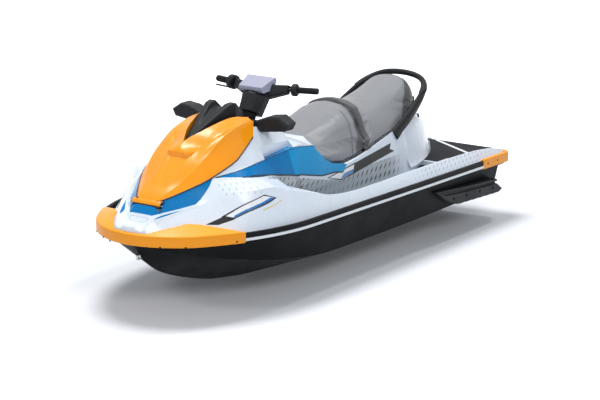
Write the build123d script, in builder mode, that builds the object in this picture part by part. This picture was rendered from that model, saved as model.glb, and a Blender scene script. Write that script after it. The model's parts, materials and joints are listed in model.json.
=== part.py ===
"""Personal watercraft: three-seat runabout with a steered water jet.

Millimetres. +X runs forward from the transom, +Y to port, +Z up from the still waterline.
The hull and deck meet on one flat bond plane, and the rail, bumpers and trim follow the same outline.
"""
from build123d import *
from math import cos, radians, sin
import os

# Driving sizes of the whole craft
LENGTH_HULL = 3100        # transom to the nose of the hull
HALF_BEAM = 572           # hull and deck, without the rail
DRAFT = 240               # keel below the waterline

# The tables of lines below were drawn for this length and half beam; other sizes stretch them
LINES_LENGTH = 3100
LINES_HALF_BEAM = 572


def along(x):
    return x * LENGTH_HULL / LINES_LENGTH


def abreast(y):
    return y * HALF_BEAM / LINES_HALF_BEAM


def stretched(axes, rows):
    """Rows of drawn places moved to this craft's length and beam. Each letter names a column's axis."""
    move = {"x": along, "y": abreast, "z": float}
    return [tuple(move[axis](value) for axis, value in zip(axes, row)) for row in rows]


# Bond line between hull and deck: one plane, rising towards the bow
BOND_STERN_Z = 148
BOND_SLOPE = 0.021

# Clearances
SEAM = 0.3                # soft parts and trims lie this far from what carries them
LID_SEAT = 0.8            # hood above its seat
LID_GAP = 6               # hood beside the console
HOOD_FRONT_GAP = 2
SOFT_GAP = 3              # between two cushions

# Room used by the large cutting blocks
FAR = 420                 # past either side of everything near the centreline
HIGH = 900                # above everything that is cut
LOW = -700                # below everything that is cut
WIDE = 900                # past both sides of the craft
AHEAD = LENGTH_HULL + 300
ASTERN = -200

# Outline seen from above
STERN_CORNER = 42         # size of the rounded corner at the transom
STERN_INSET = 6           # the side starts this far inside the full beam
SIDE_FULL_X = along(900)
SHOULDER_X = along(2200)  # the side turns in from here
FLANK_X = along(2900)
FLANK_HALF = abreast(352)
NOSE_HALF = abreast(95)   # flat of the nose
NOSE_DEPTH = 15

# Rail and bumpers, cut from upright prisms between these heights
RIM_LOW_Z = -100
RIM_HIGH_Z = 500
RAIL_PROUD = 18
RAIL_HEIGHT = 46
STRIP_PROUD = 5
STRIP_HEIGHT = 15
STRIP_LIFT = 4            # strip above the lower edge of the rail
BUMPER_PROUD = 23
BUMPER_HEIGHT = 62
BUMPER_REAR_X = along(2700)
BUMPER_CUT_X = along(2600)
BUMPER_TOP_RISE = 50      # sloping upper part above the upright band
BUMPER_TOP_IN = 82        # its upper edge lies this far inside the outline
STERN_BUMPER_LENGTH = 330
STERN_BUMPER_HEIGHT = 64
STERN_BUMPER_LIFT = 3

# Hull sections; the hull form runs on past the bond plane
HULL_STATIONS = stretched("xyzyz", [
    # x, chine y, chine z, side top y, keel z
    (0, 515, -52, 560, -DRAFT),
    (950, 520, -55, 586, -DRAFT),
    (1900, 515, -45, 588, -DRAFT),
    (2300, 478, -8, 572, -196),
    (2600, 398, 45, 508, -120),
    (2850, 262, 100, 392, -22),
    (2980, 150, 140, 255, 78),
    (3060, 62, 176, 140, 158),
    (3110, 34, 205, 96, 200),
])
HULL_TOP_Z = 320
HULL_SECTIONS = 26

# Deck side sections
COAMING_STATIONS = stretched("xyyz", [
    # x, foot y, top y, top z
    (0, 572, 528, 188),
    (400, 590, 510, 236),
    (950, 592, 505, 246),
    (1600, 592, 505, 252),
    (1950, 592, 500, 292),
])
COAMING_SECTIONS = 7
DECK_FOOT_Z = 120

# Front deck sections: foot, shoulder of the side, knee, belt under the hood, edge of the top, centreline
FORE_STATIONS = stretched("xyyzyzyzyzz", [
    # x, foot y, shoulder y, z, knee y, z, belt y, z, edge y, z, crown z
    (1950, 592, 500, 292, 331, 378, 290, 534, 170, 650, 664),
    (2250, 590, 482, 372, 330, 439, 280, 519, 180, 722, 738),
    (2440, 572, 460, 424, 322, 466, 272, 507, 178, 688, 700),
    (2640, 522, 322, 405, 254, 464, 236, 480, 172, 583, 597),
    (2800, 452, 231, 363, 213, 357, 162, 429, 118, 468, 483),
    (2940, 350, 159, 341, 121, 326, 77, 379, 60, 383, 386),
    (3000, 292, 128, 331, 84, 311, 70, 310, 50, 308, 307),
    (3110, 140, 86, 248, 70, 250, 58, 251, 40, 252, 253),
])
FORE_SECTIONS = 18

# Raised collar of the hood round the opening for the meter
COLLAR_STATIONS = stretched("xyzyz", [
    # x, crease y, crease z, brow y, brow z
    (2180, 176, 712, 134, 748),
    (2298, 182, 706, 106, 751),
    (2440, 172, 684, 64, 721),
    (2500, 150, 656, 44, 702),
    (2560, 118, 626, 22, 676),
    (2610, 84, 602, 8, 648),
    (2664, 20, 578, 3, 588),
])
COLLAR_SECTIONS = 8
COLLAR_LIP = 12           # step up at the crease
COLLAR_ROOT = 60          # the collar form reaches this far below the crease
COLLAR_FACE = 1           # least width of its inner face

# Pedestal sections
PEDESTAL_STATIONS = stretched("xyyzyz", [
    # x, foot y, belt y, belt z, top y, top z
    (296, 178, 132, 340, 100, 376),
    (500, 275, 200, 440, 150, 548),
    (850, 367, 262, 440, 180, 600),
    (1200, 362, 275, 420, 180, 560),
    (1500, 352, 288, 430, 170, 520),
    (1720, 346, 300, 500, 165, 534),
    (1960, 341, 290, 534, 170, 655),
])
PEDESTAL_FOOT_Z = 70
PEDESTAL_SECTIONS = 10

# Split lines seen from the side
HOOD_LINE = stretched("xz", [(2946, 381), (2640, 490), (2440, 551), (2250, 642), (2196, 714)])
TRIM_LINE = stretched("xz", [(3022, 290), (3000, 311), (2800, 357), (2750, 390), (2700, 438), (2640, 490)])
SEAT_LINE = stretched("xz", [(1640, 556), (1762, 497), (1660, 410), (1560, 362), (1429, 339), (1290, 352),
                             (1160, 373), (740, 455), (440, 560)])
CONSOLE_LINE = stretched("xz", [(1770, 560), (1806, 626), (2215, 690)])
COVER_TOP_LINE = stretched("xz", [(2632, 488), (1946, 536), (1760, 512), (1429, 339)])
COVER_LOW_LINE = stretched("xz", [(1480, 300), (1560, 318), (1711, 326), (1955, 380), (2248, 438),
                                  (2480, 470)])
COVER_INNER_Y = abreast(235)
CUSHION_SPLIT_REAR = stretched("xz", [(1070, 720), (1175, 330)])
CUSHION_SPLIT_FRONT = stretched("xz", [(1132, 720), (1200, 330)])

# Opening in the hood, seen from above
NOTCH = stretched("xy", [(2596, 0), (2500, 43), (2440, 64), (2320, 99), (2240, 123), (2196, 136), (2120, 136),
                         (2120, 0)])
NOTCH_FOOT_Z = 300
CONSOLE_HALF = abreast(230)
CONSOLE_FOOT_RISE = 70    # foot of the console above the hood line's corner

# Footwells and platform
WELL_FLOOR_Z = 92
WELL_FRONT_X = along(2230)
WELL_REAR_X = along(560)
WELL_CORNER_LENGTH = 260
WELL_CORNER_WIDTH = 60
WELL_INNER_Y = abreast(344)
WELL_OUTER_Y = abreast(498)
WELL_CLEAR_Y = abreast(250)   # above the tubs the wells reach in to here, under the pedestal
TUB_WALL = 6
TUB_TOP_Z = 400
PLATFORM_Z = 188
PLATFORM_HALF = abreast(505)
PLATFORM_OVER_WELL = 60   # the platform's sides are cut on into the footwells by this much
MAT_THICK = 5
MAT_EDGE = 27             # border of bare platform beside the stern mat
WELL_MAT_EDGE = 14

# Hood and the storage bin beneath it
HOOD_SKIN = 13
HOOD_CORE_REAR_X = along(2380)
HOOD_CORE_FRONT_X = along(2900)
HOOD_RIM = 20             # solid border of the hood beside its opening
HOOD_HINGE_X = along(2922)
HOOD_HINGE_Z = 368
HINGE_PIN_RADIUS = 5
HINGE_KNUCKLE = 11
HINGE_HALF = 100
KNUCKLE_LENGTH = 20
KNUCKLE_STEM = 24
KNUCKLE_WIDTH = 16
KNUCKLE_PLACES = (-60, 60)
HINGE_ROOM_BACK = 20
HINGE_ROOM_AHEAD = 29
HINGE_ROOM_BELOW = 30
HINGE_ROOM_ABOVE = 60
BIN_REAR_X = along(2330)
BIN_MOUTH_X = along(2612)
BIN_FRONT_X = along(2800)
BIN_HALF = abreast(140)
BIN_FLOOR_Z = 222
BIN_WALL = 5
BIN_ROOF_Z = 455
BIN_TOP_Z = 700

# Engine block
ENGINE_SIZE = (560, 380, 400)
ENGINE_CENTRE = (along(1190), 0, 30)

# Jet: pump in a tunnel under the stern, all measured from the pivot of the steered nozzle
TRANSOM_X = 85            # below the rail the hull stops short of the deck
TRANSOM_TOP_Z = 100
JET_Z = -112
NOZZLE_PIVOT_X = 90
TUNNEL_LENGTH = 700
TUNNEL_HALF = 140
TUNNEL_TOP_Z = -5
PUMP_OUTER = 86
PUMP_BORE = 74
PUMP_LENGTH = 185
PUMP_REAR_X = NOZZLE_PIVOT_X + 85
PUMP_FRONT_X = PUMP_REAR_X + PUMP_LENGTH
CONE_OUTER = 50
CONE_BORE = 43
CONE_LENGTH = 30
CONE_END_X = NOZZLE_PIVOT_X - 15
SHAFT_RADIUS = 12
SHAFT_GAP = 0.5           # shaft short of the tunnel's end wall
IMPELLER_HUB = 26
IMPELLER_CLEARANCE = 0.8
IMPELLER_BLADES = 4
IMPELLER_TWIST = 38
IMPELLER_REAR_X = PUMP_REAR_X + 76
IMPELLER_NOSE = 28
NOSE_INSET = 12           # tip of the hub inside the mouth of the pump
HUB_TAPER = 2
BLADE_INSET = 4
BLADE_THICK = 5
BLADE_ROOT = 3
STATOR_VANES = 6
STATOR_THICK = 4
STATOR_START_X = PUMP_REAR_X + 10
STATOR_LENGTH = 60
VANE_INSET = 5            # vanes start this far inside the ends of their hub
PIVOT_PIN_RADIUS = 5
PIN_SHORT = 1             # a pin's end from the face it could reach
EAR_ROOT = 6              # ears, bracket and arms are let in to the pump by these amounts
BRACKET_ROOT = 6
ARM_ROOT_DEPTH = 8
FIT = 0.05
NOZZLE_MOUTH_X = NOZZLE_PIVOT_X + 18
NOZZLE_WAIST_X = NOZZLE_PIVOT_X - 30
NOZZLE_END_X = NOZZLE_PIVOT_X - 108
NOZZLE_WALL = 6
NOZZLE_MOUTH_BORE = 60
NOZZLE_WAIST_BORE = 56
NOZZLE_END_BORE = 42
NOZZLE_BOSS_TOP = 69
NOZZLE_BOSS_RADIUS = PIVOT_PIN_RADIUS + 6
NOZZLE_BOSS_HEIGHT = 11
EAR_THICK = 8
EAR_HALF = 12
NOZZLE_EAR_START = NOZZLE_BOSS_TOP + 1
BUCKET_PIVOT_X = NOZZLE_PIVOT_X - 28
BUCKET_RADIUS = 102
BUCKET_WALL = 6
BUCKET_HALF = 96
BUCKET_DROP = 80
BUCKET_SPAN = 70          # angle that its shell covers
BUCKET_EYE = 16
BUCKET_EAR_GAP = 4
BUCKET_EAR_HALF = 14
ARM_WEB_X = PUMP_REAR_X + 20
ARM_WEB_LENGTH = 30
BRACKET_HALF = 50
BRACKET_INSET = 15
PLATE_Z = -214
PLATE_THICK = 9
PLATE_AHEAD = 10          # it runs on past the mouth of the pump by this much
PLATE_EDGE = 6
PLATE_LIP = 8
PLATE_LIP_HEIGHT = 50
PLATE_ROUND = 4
GRATE_BAR = 24
GRATE_RIB = 8
GRATE_RIBS = 5
GRATE_PITCH = 42
GRATE_UNDER = 6
GRATE_OVER = 8

# Steering column: foot, lean from upright towards the rider, handlebar
STEER_FOOT = (along(1990), 0, 690)
STEER_LEAN = 30
POST_RADIUS = 15
POST_CLEARANCE = 1
POST_DEPTH = 90           # column below its foot
POST_SPACE_DEPTH = 95
BAR_RISE = 172            # along the column from its foot to the middle of the bar
BAR_DIAMETER = 22
BAR_BEND = 40
BAR_POINTS = [(-14, 62, 2), (-50, 190, 26), (-88, 348, 49)]   # ahead, to port, above the bar's middle
GRIP_DIAMETER = 36
GRIP_LENGTH = 118
GRIP_ROUND = 4
SWITCH_RADIUS = 36
SWITCH_LENGTH = 36
THROTTLE_RADIUS = 42
THROTTLE_LENGTH = 44
SWITCH_GAP = 3
SWITCH_ROUND = 7

# Mirrors, seen from ahead
MIRROR_X = along(2092)
MIRROR_LENGTH = 96
MIRROR_SHAPE = stretched("yz", [(170, 648), (170, 712), (262, 748), (338, 758), (402, 716), (380, 676)])
MIRROR_GLASS_CORNER = stretched("yz", [(248, 676)])
MIRROR_RIM = 8
MIRROR_ROUND = 12
MIRROR_RECESS = 6
GLASS_THICK = 4

# Towing eyes and drain plugs
EYE_BORE = 9
EYE_WALL = 8
BOW_EYE_X = LENGTH_HULL - 87
BOW_EYE_Z = 92
BOW_EYE_THICK = 12
STERN_EYE_X = -24
STERN_EYE_Z = 168
STERN_EYE_THICK = 10
STERN_PLATE = (54, 30)
STERN_PLATE_THICK = 4
PLUG_Y = 210
PLUG_Z = -120
PLUG_RADIUS = 17
PLUG_DEPTH = 7
PLUG_KEY = (20, 6)
PLUG_KEY_DEPTH = 5


def bond_z(x):
    return BOND_STERN_Z + BOND_SLOPE * x


def cross_plane(x):
    """Plane across the craft at x, with its own x to port and its own y up."""
    return Plane(origin=(x, 0, 0), x_dir=(0, 1, 0), z_dir=(1, 0, 0))


def side_plane(y=0.0):
    """Upright plane along the craft at y, with its own x forward and its own y up, facing starboard."""
    return Plane(origin=(0, y, 0), x_dir=(1, 0, 0), z_dir=(0, -1, 0))


def bond_plane(lift=0.0):
    """The bond plane, or one parallel to it, with its own x forward and y to port."""
    plane = Plane(origin=(0, 0, BOND_STERN_Z), x_dir=(1, 0, BOND_SLOPE), z_dir=(-BOND_SLOPE, 0, 1))
    return plane.offset(lift)


def smooth_between(table, x):
    """The row of a station table at x: each column runs through its values without overshoot."""
    last = len(table) - 1
    at = max(i for i in range(last) if table[i][0] <= x or i == 0)
    left, right = table[at], table[at + 1]
    before = table[max(at - 1, 0)]
    after = table[min(at + 2, last)]
    span = right[0] - left[0]
    t = (x - left[0]) / span

    def slope(low, mid, high, column):
        rise = (mid[column] - low[column]) / max(mid[0] - low[0], 1e-9)
        fall = (high[column] - mid[column]) / max(high[0] - mid[0], 1e-9)
        if low is mid or high is mid:
            return fall if low is mid else rise
        return 0.0 if rise * fall <= 0 else 2 * rise * fall / (rise + fall)

    row = [x]
    for column in range(1, len(left)):
        start = slope(before, left, right, column)
        end = slope(left, right, after, column)
        a, b = left[column], right[column]
        row.append(a + (b - a) * (3 * t * t - 2 * t ** 3)
                   + span * start * (t ** 3 - 2 * t * t + t) + span * end * (t ** 3 - t * t))
    return row


def even_rows(table, count):
    """Rows of a station table at evenly spaced x, so that a smooth loft through them stays calm."""
    first, last = table[0][0], table[-1][0]
    return [smooth_between(table, first + (last - first) * i / (count - 1)) for i in range(count)]


def section(x, half):
    """One cross section, symmetrical about the centreline, from its port half listed from y = 0 to y = 0."""
    with BuildSketch(cross_plane(x)) as sketch:
        with BuildLine():
            Polyline(*(half + [(-y, z) for y, z in reversed(half) if y > 0]), close=True)
        make_face()
    return sketch.sketch


def shoulder_half(x):
    """Half breadth of the outline on the arc between the full beam and the flank."""
    run = FLANK_X - SHOULDER_X
    drop = HALF_BEAM - FLANK_HALF
    radius = (run * run + drop * drop) / (2 * drop)
    return HALF_BEAM - radius + (radius * radius - (x - SHOULDER_X) ** 2) ** 0.5


def outline_prism(grow, low, high):
    """Upright prism over the craft's outline seen from above, grown by so much."""
    with BuildSketch(Plane.XY.offset(low)) as sketch:
        with BuildLine():
            stern = Line((0, 0), (0, HALF_BEAM - STERN_CORNER))
            corner_middle = (STERN_CORNER / 4, HALF_BEAM - STERN_CORNER / 2 + STERN_INSET / 2)
            corner = ThreePointArc(stern @ 1, corner_middle, (STERN_CORNER, HALF_BEAM - STERN_INSET))
            side = Line(corner @ 1, (SIDE_FULL_X, HALF_BEAM))
            flank = Line(side @ 1, (SHOULDER_X, HALF_BEAM))
            shoulder = TangentArc(flank @ 1, (FLANK_X, FLANK_HALF), tangent=(1, 0))
            bow = TangentArc(shoulder @ 1, (LENGTH_HULL - NOSE_DEPTH, NOSE_HALF), tangent=shoulder % 1)
            Line(bow @ 1, (LENGTH_HULL, 0))
            mirror(about=Plane.XZ)
        make_face()
        if grow:
            offset(amount=grow, kind=Kind.ARC)
    with BuildPart() as prism:
        extrude(sketch.sketch, amount=high - low)
    return prism.part


def bow_outline(plane, grow):
    """Face over the forward part of the outline, grown by so much, with sharp corners."""
    with BuildSketch(plane) as sketch:
        with BuildLine():
            cut = Line((BUMPER_CUT_X, 0), (BUMPER_CUT_X, shoulder_half(BUMPER_CUT_X)))
            middle = (BUMPER_CUT_X + FLANK_X) / 2
            shoulder = ThreePointArc(cut @ 1, (middle, shoulder_half(middle)), (FLANK_X, FLANK_HALF))
            bow = TangentArc(shoulder @ 1, (LENGTH_HULL - NOSE_DEPTH, NOSE_HALF), tangent=shoulder % 1)
            Line(bow @ 1, (LENGTH_HULL, 0))
            mirror(about=Plane.XZ)
        make_face()
        offset(amount=grow, kind=Kind.INTERSECTION)
    return sketch.sketch


def bond_slab(low, high, rear=ASTERN, front=AHEAD):
    """Flat slab parallel to the bond plane, between two heights above it and two places along it."""
    with BuildPart() as slab:
        with BuildSketch(bond_plane(low)):
            with Locations(((rear + front) / 2, 0)):
                Rectangle(front - rear, 2 * WIDE)
        extrude(amount=high - low)
    return slab.part


def side_prism(points, half):
    """A prism right across the craft from an outline seen from the side: x, z."""
    with BuildPart() as prism:
        with BuildSketch(side_plane()):
            with BuildLine():
                Polyline(*points, close=True)
            make_face()
        extrude(amount=half, both=True)
    return prism.part


def plan_prism(points, low, high):
    """An upright prism from an outline seen from above: x, y."""
    with BuildPart() as prism:
        with BuildSketch(Plane.XY.offset(low)):
            with BuildLine():
                Polyline(*points, close=True)
            make_face()
        extrude(amount=high - low)
    return prism.part


def mirrored(points):
    """An outline seen from above, symmetrical about the centreline, from its port half."""
    return points + [(x, -y) for x, y in reversed(points) if y > 0]


def notch_prism(grow):
    """Upright prism of the hood's opening, grown towards the bow and the sides, open to the rear."""
    outline = [(x + grow, y + grow if y > 0 else 0) for x, y in NOTCH[:-2]]
    rear = NOTCH[-1][0] - grow
    return plan_prism(mirrored(outline + [(rear, outline[-1][1]), (rear, 0)]), NOTCH_FOOT_Z, HIGH)


def well_prism(side, grow, low, high, inner=WELL_INNER_Y):
    """Upright prism of one footwell, grown all round by so much."""
    rear, front = WELL_REAR_X - grow, WELL_FRONT_X + grow
    near, outer = inner - grow, WELL_OUTER_Y + grow
    outline = [(rear, outer), (front - WELL_CORNER_LENGTH, outer), (front, outer - WELL_CORNER_WIDTH),
               (front, near), (rear, near)]
    return plan_prism([(x, side * y) for x, y in outline], low, high)


def box_between(low, high):
    """A box from its lowest to its highest corner."""
    with BuildPart() as box:
        with Locations([tuple((a + b) / 2 for a, b in zip(low, high))]):
            Box(*(b - a for a, b in zip(low, high)))
    return box.part


def on_side(side, near, far):
    """Two distances from the centreline as y values on one side, the lower first."""
    return sorted((side * near, side * far))


def rod(start, end, radius):
    """A round rod between two points."""
    with BuildPart() as bar:
        axis = Vector(*end) - Vector(*start)
        with BuildSketch(Plane(origin=start, z_dir=axis)):
            Circle(radius)
        extrude(amount=axis.length)
    return bar.part


def export(part, name):
    part.label = name
    export_step(part, f"parts/{name}.step")
    print(name, len(part.solids()), round(part.volume / 1e6, 3), part.is_valid)


# Directions along and across the steering column
lean = radians(STEER_LEAN)
column_up = Vector(-sin(lean), 0, cos(lean))
column_ahead = Vector(cos(lean), 0, sin(lean))


def on_column(ahead, port, rise):
    """A point from the column's foot: ahead across the column, to port, and up along it."""
    point = Vector(*STEER_FOOT) + column_ahead * ahead + column_up * rise
    return (point.X, port, point.Z)


def column_plane(rise):
    return Plane(origin=on_column(0, 0, rise), x_dir=column_ahead, z_dir=column_up)


os.makedirs("parts", exist_ok=True)

# Space inside the outline, and below the bond plane
envelope = outline_prism(0, LOW, HIGH + 200)
below_bond = bond_slab(LOW, 0)

# Hull
with BuildPart() as hull_form:
    loft([
        section(x, [(0, keel_z), (chine_y, chine_z), (side_y, bond_z(x)), (side_y, HULL_TOP_Z),
                    (0, HULL_TOP_Z)])
        for x, chine_y, chine_z, side_y, keel_z in even_rows(HULL_STATIONS, HULL_SECTIONS)
    ])

transom_step = box_between((ASTERN, -WIDE, LOW), (TRANSOM_X, WIDE, TRANSOM_TOP_Z))
tunnel = box_between((ASTERN, -TUNNEL_HALF, LOW), (TUNNEL_LENGTH, TUNNEL_HALF, TUNNEL_TOP_Z))
engine_low = tuple(c - s / 2 for c, s in zip(ENGINE_CENTRE, ENGINE_SIZE))
engine_high = tuple(c + s / 2 for c, s in zip(ENGINE_CENTRE, ENGINE_SIZE))
engine_space = box_between(engine_low, engine_high)

with BuildPart() as hull:
    add(hull_form.part)
    add(below_bond, mode=Mode.INTERSECT)
    add(envelope, mode=Mode.INTERSECT)
    add(transom_step, mode=Mode.SUBTRACT)
    add(tunnel, mode=Mode.SUBTRACT)
    add(engine_space, mode=Mode.SUBTRACT)
    for side in (1, -1):
        add(well_prism(side, TUB_WALL, WELL_FLOOR_Z - TUB_WALL, TUB_TOP_Z), mode=Mode.SUBTRACT)
export(hull.part, "hull")

with BuildPart() as engine:
    add(engine_space)
export(engine.part, "engine")

# Deck forms
with BuildPart() as coaming_form:
    loft([
        section(x, [(0, DECK_FOOT_Z), (foot_y, DECK_FOOT_Z), (top_y, top_z), (0, top_z)])
        for x, foot_y, top_y, top_z in even_rows(COAMING_STATIONS, COAMING_SECTIONS)
    ])


def fore_section(row, shrink=0.0):
    x, foot_y, side_y, side_z, knee_y, knee_z, belt_y, belt_z, edge_y, edge_z, crown_z = row
    return section(x, [(0, DECK_FOOT_Z), (foot_y, DECK_FOOT_Z), (side_y - shrink, side_z - shrink),
                       (knee_y - shrink, knee_z - shrink), (belt_y - shrink, belt_z - shrink),
                       (edge_y - shrink, edge_z - shrink), (0, crown_z - shrink)])


with BuildPart() as fore_form:
    loft([fore_section(row) for row in even_rows(FORE_STATIONS, FORE_SECTIONS)])

with BuildPart() as hood_core_form:
    loft([fore_section(row, HOOD_SKIN) for row in even_rows(FORE_STATIONS, FORE_SECTIONS)])

with BuildPart() as collar_form:
    loft([
        section(x, [(0, crease_z - COLLAR_ROOT), (crease_y, crease_z - COLLAR_ROOT), (crease_y, crease_z),
                    (max(crease_y - COLLAR_LIP, brow_y + COLLAR_FACE), crease_z + COLLAR_LIP),
                    (brow_y, brow_z), (0, brow_z)])
        for x, crease_y, crease_z, brow_y, brow_z in even_rows(COLLAR_STATIONS, COLLAR_SECTIONS)
    ])

with BuildPart() as pedestal_form:
    loft([
        section(x, [(0, PEDESTAL_FOOT_Z), (foot_y, PEDESTAL_FOOT_Z), (belt_y, belt_z), (top_y, top_z),
                    (0, top_z)])
        for x, foot_y, belt_y, belt_z, top_y, top_z in even_rows(PEDESTAL_STATIONS, PEDESTAL_SECTIONS)
    ])
print("forms", fore_form.part.is_valid, collar_form.part.is_valid, pedestal_form.part.is_valid)

# What the hood, trims, console and seat take out of the deck
hood_front = HOOD_LINE[0][0]
hood_rear = HOOD_LINE[-1][0]
hood_space = side_prism(HOOD_LINE + [(hood_rear, HIGH), (hood_front, HIGH)], FAR)
notch = notch_prism(0)
trim_space = side_prism(TRIM_LINE + HOOD_LINE[:1] + [(hood_front, HIGH), (TRIM_LINE[0][0], HIGH)], FAR)
seat_rear_x = SEAT_LINE[-1][0]
seat_space = side_prism(SEAT_LINE + [(seat_rear_x, HIGH), (SEAT_LINE[0][0], HIGH)], FAR)
console_front = NOTCH[0][0] + SEAM
console_low = HOOD_LINE[1][1] + CONSOLE_FOOT_RISE
console_space = side_prism(CONSOLE_LINE + [(console_front, console_low), (console_front, HIGH),
                                           (CONSOLE_LINE[0][0], HIGH)], CONSOLE_HALF)
hinge_space = box_between((HOOD_HINGE_X - HINGE_ROOM_BACK, -HINGE_HALF, HOOD_HINGE_Z - HINGE_ROOM_BELOW),
                          (HOOD_HINGE_X + HINGE_ROOM_AHEAD, HINGE_HALF, HOOD_HINGE_Z + HINGE_ROOM_ABOVE))
bin_low_space = box_between((BIN_REAR_X, -BIN_HALF, BIN_FLOOR_Z), (BIN_FRONT_X, BIN_HALF, BIN_ROOF_Z))
bin_mouth_space = box_between((BIN_MOUTH_X, -BIN_HALF, BIN_FLOOR_Z), (BIN_FRONT_X, BIN_HALF, BIN_TOP_Z))
post_space = rod(on_column(0, 0, -POST_SPACE_DEPTH), on_column(0, 0, BAR_RISE), POST_RADIUS + POST_CLEARANCE)

with BuildPart() as wells:
    for side in (1, -1):
        add(well_prism(side, 0, WELL_FLOOR_Z, HIGH, WELL_CLEAR_Y))

with BuildPart() as tubs:
    for side in (1, -1):
        add(well_prism(side, TUB_WALL, WELL_FLOOR_Z - TUB_WALL, TUB_TOP_Z))
        add(well_prism(side, 0, WELL_FLOOR_Z, TUB_TOP_Z), mode=Mode.SUBTRACT)
    add(below_bond, mode=Mode.INTERSECT)

platform_space = box_between((ASTERN, -PLATFORM_HALF, PLATFORM_Z),
                             (WELL_REAR_X + PLATFORM_OVER_WELL, PLATFORM_HALF, HIGH))
with BuildPart() as deck_block:
    add(coaming_form.part)
    add(platform_space, mode=Mode.SUBTRACT)
    add(fore_form.part)
    add(wells.part, mode=Mode.SUBTRACT)
    add(pedestal_form.part)
    add(envelope, mode=Mode.INTERSECT)

cover_line = side_prism(COVER_TOP_LINE + COVER_LOW_LINE, FAR)
cover_space = {}
for side in (1, -1):
    near, far = on_side(side, COVER_INNER_Y, FAR)
    with BuildPart() as cover_block:
        add(cover_line)
        add(box_between((0, near, 0), (AHEAD, far, HIGH)), mode=Mode.INTERSECT)
    cover_space[side] = cover_block.part

with BuildPart() as deck:
    add(deck_block.part)
    add(hood_space, mode=Mode.SUBTRACT)
    add(trim_space, mode=Mode.SUBTRACT)
    add(hinge_space, mode=Mode.SUBTRACT)
    add(seat_space, mode=Mode.SUBTRACT)
    add(console_space, mode=Mode.SUBTRACT)
    for side in (1, -1):
        add(cover_space[side], mode=Mode.SUBTRACT)
    add(bin_low_space, mode=Mode.SUBTRACT)
    add(bin_mouth_space, mode=Mode.SUBTRACT)
    add(engine_space, mode=Mode.SUBTRACT)
    add(post_space, mode=Mode.SUBTRACT)
    add(below_bond, mode=Mode.SUBTRACT)
    add(tubs.part)
export(deck.part, "deck")

# Hood, blue trim under it, console and side covers: all cut from the same front form, so they stay flush
with BuildPart() as bow_trim:
    add(fore_form.part)
    add(envelope, mode=Mode.INTERSECT)
    add(trim_space, mode=Mode.INTERSECT)
    add(hood_space, mode=Mode.SUBTRACT)
    add(hinge_space, mode=Mode.SUBTRACT)
    add(bin_mouth_space, mode=Mode.SUBTRACT)
export(bow_trim.part, "bow_trim")

hood_over_trim = side_prism([(x, z + LID_SEAT) for x, z in HOOD_LINE]
                            + [(hood_rear, HIGH), (hood_front - HOOD_FRONT_GAP, HIGH)], FAR)
with BuildPart() as hood_core:
    add(hood_core_form.part)
    add(box_between((HOOD_CORE_REAR_X, -FAR, 0), (HOOD_CORE_FRONT_X, FAR, HIGH)), mode=Mode.INTERSECT)
    add(notch_prism(LID_GAP + HOOD_RIM), mode=Mode.SUBTRACT)

with BuildPart() as hood:
    add(fore_form.part)
    add(collar_form.part)
    add(hood_over_trim, mode=Mode.INTERSECT)
    add(notch_prism(LID_GAP), mode=Mode.SUBTRACT)
    add(hood_core.part, mode=Mode.SUBTRACT)
    for y in KNUCKLE_PLACES:
        with BuildSketch(side_plane(y - KNUCKLE_LENGTH / 2)):
            with Locations((HOOD_HINGE_X, HOOD_HINGE_Z)):
                Circle(HINGE_KNUCKLE)
            with Locations((HOOD_HINGE_X, HOOD_HINGE_Z + KNUCKLE_STEM / 2)):
                Rectangle(KNUCKLE_WIDTH, KNUCKLE_STEM)
        extrude(amount=-KNUCKLE_LENGTH)
        with BuildSketch(side_plane(y - KNUCKLE_LENGTH / 2)):
            with Locations((HOOD_HINGE_X, HOOD_HINGE_Z)):
                Circle(HINGE_PIN_RADIUS + FIT)
        extrude(amount=-KNUCKLE_LENGTH, mode=Mode.SUBTRACT)
export(hood.part, "hood")

with BuildPart() as hood_hinge:
    add(rod((HOOD_HINGE_X, -HINGE_HALF, HOOD_HINGE_Z), (HOOD_HINGE_X, HINGE_HALF, HOOD_HINGE_Z),
            HINGE_PIN_RADIUS))
export(hood_hinge.part, "hood_hinge")

with BuildPart() as hood_claim:
    add(hood_space)
    add(notch, mode=Mode.SUBTRACT)

with BuildPart() as console:
    add(fore_form.part)
    add(console_space, mode=Mode.INTERSECT)
    add(seat_space, mode=Mode.SUBTRACT)
    add(hood_claim.part, mode=Mode.SUBTRACT)
    add(post_space, mode=Mode.SUBTRACT)
export(console.part, "console")

for side, word in ((1, "left"), (-1, "right")):
    with BuildPart() as side_cover:
        add(fore_form.part)
        add(pedestal_form.part)
        add(cover_space[side], mode=Mode.INTERSECT)
        add(seat_space, mode=Mode.SUBTRACT)
    export(side_cover.part, f"side_cover_{word}")

# Rub rail: a black band round the sides with a silver strip let into it, between the two bumpers
rail_prism = outline_prism(RAIL_PROUD, RIM_LOW_Z, RIM_HIGH_Z)
strip_prism = outline_prism(RAIL_PROUD + STRIP_PROUD, RIM_LOW_Z, RIM_HIGH_Z)
rail_slab = bond_slab(-RAIL_HEIGHT / 2, RAIL_HEIGHT / 2, STERN_BUMPER_LENGTH, BUMPER_REAR_X)
strip_low = STRIP_LIFT - RAIL_HEIGHT / 2
strip_slab = bond_slab(strip_low, strip_low + STRIP_HEIGHT, STERN_BUMPER_LENGTH, BUMPER_REAR_X)

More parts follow.
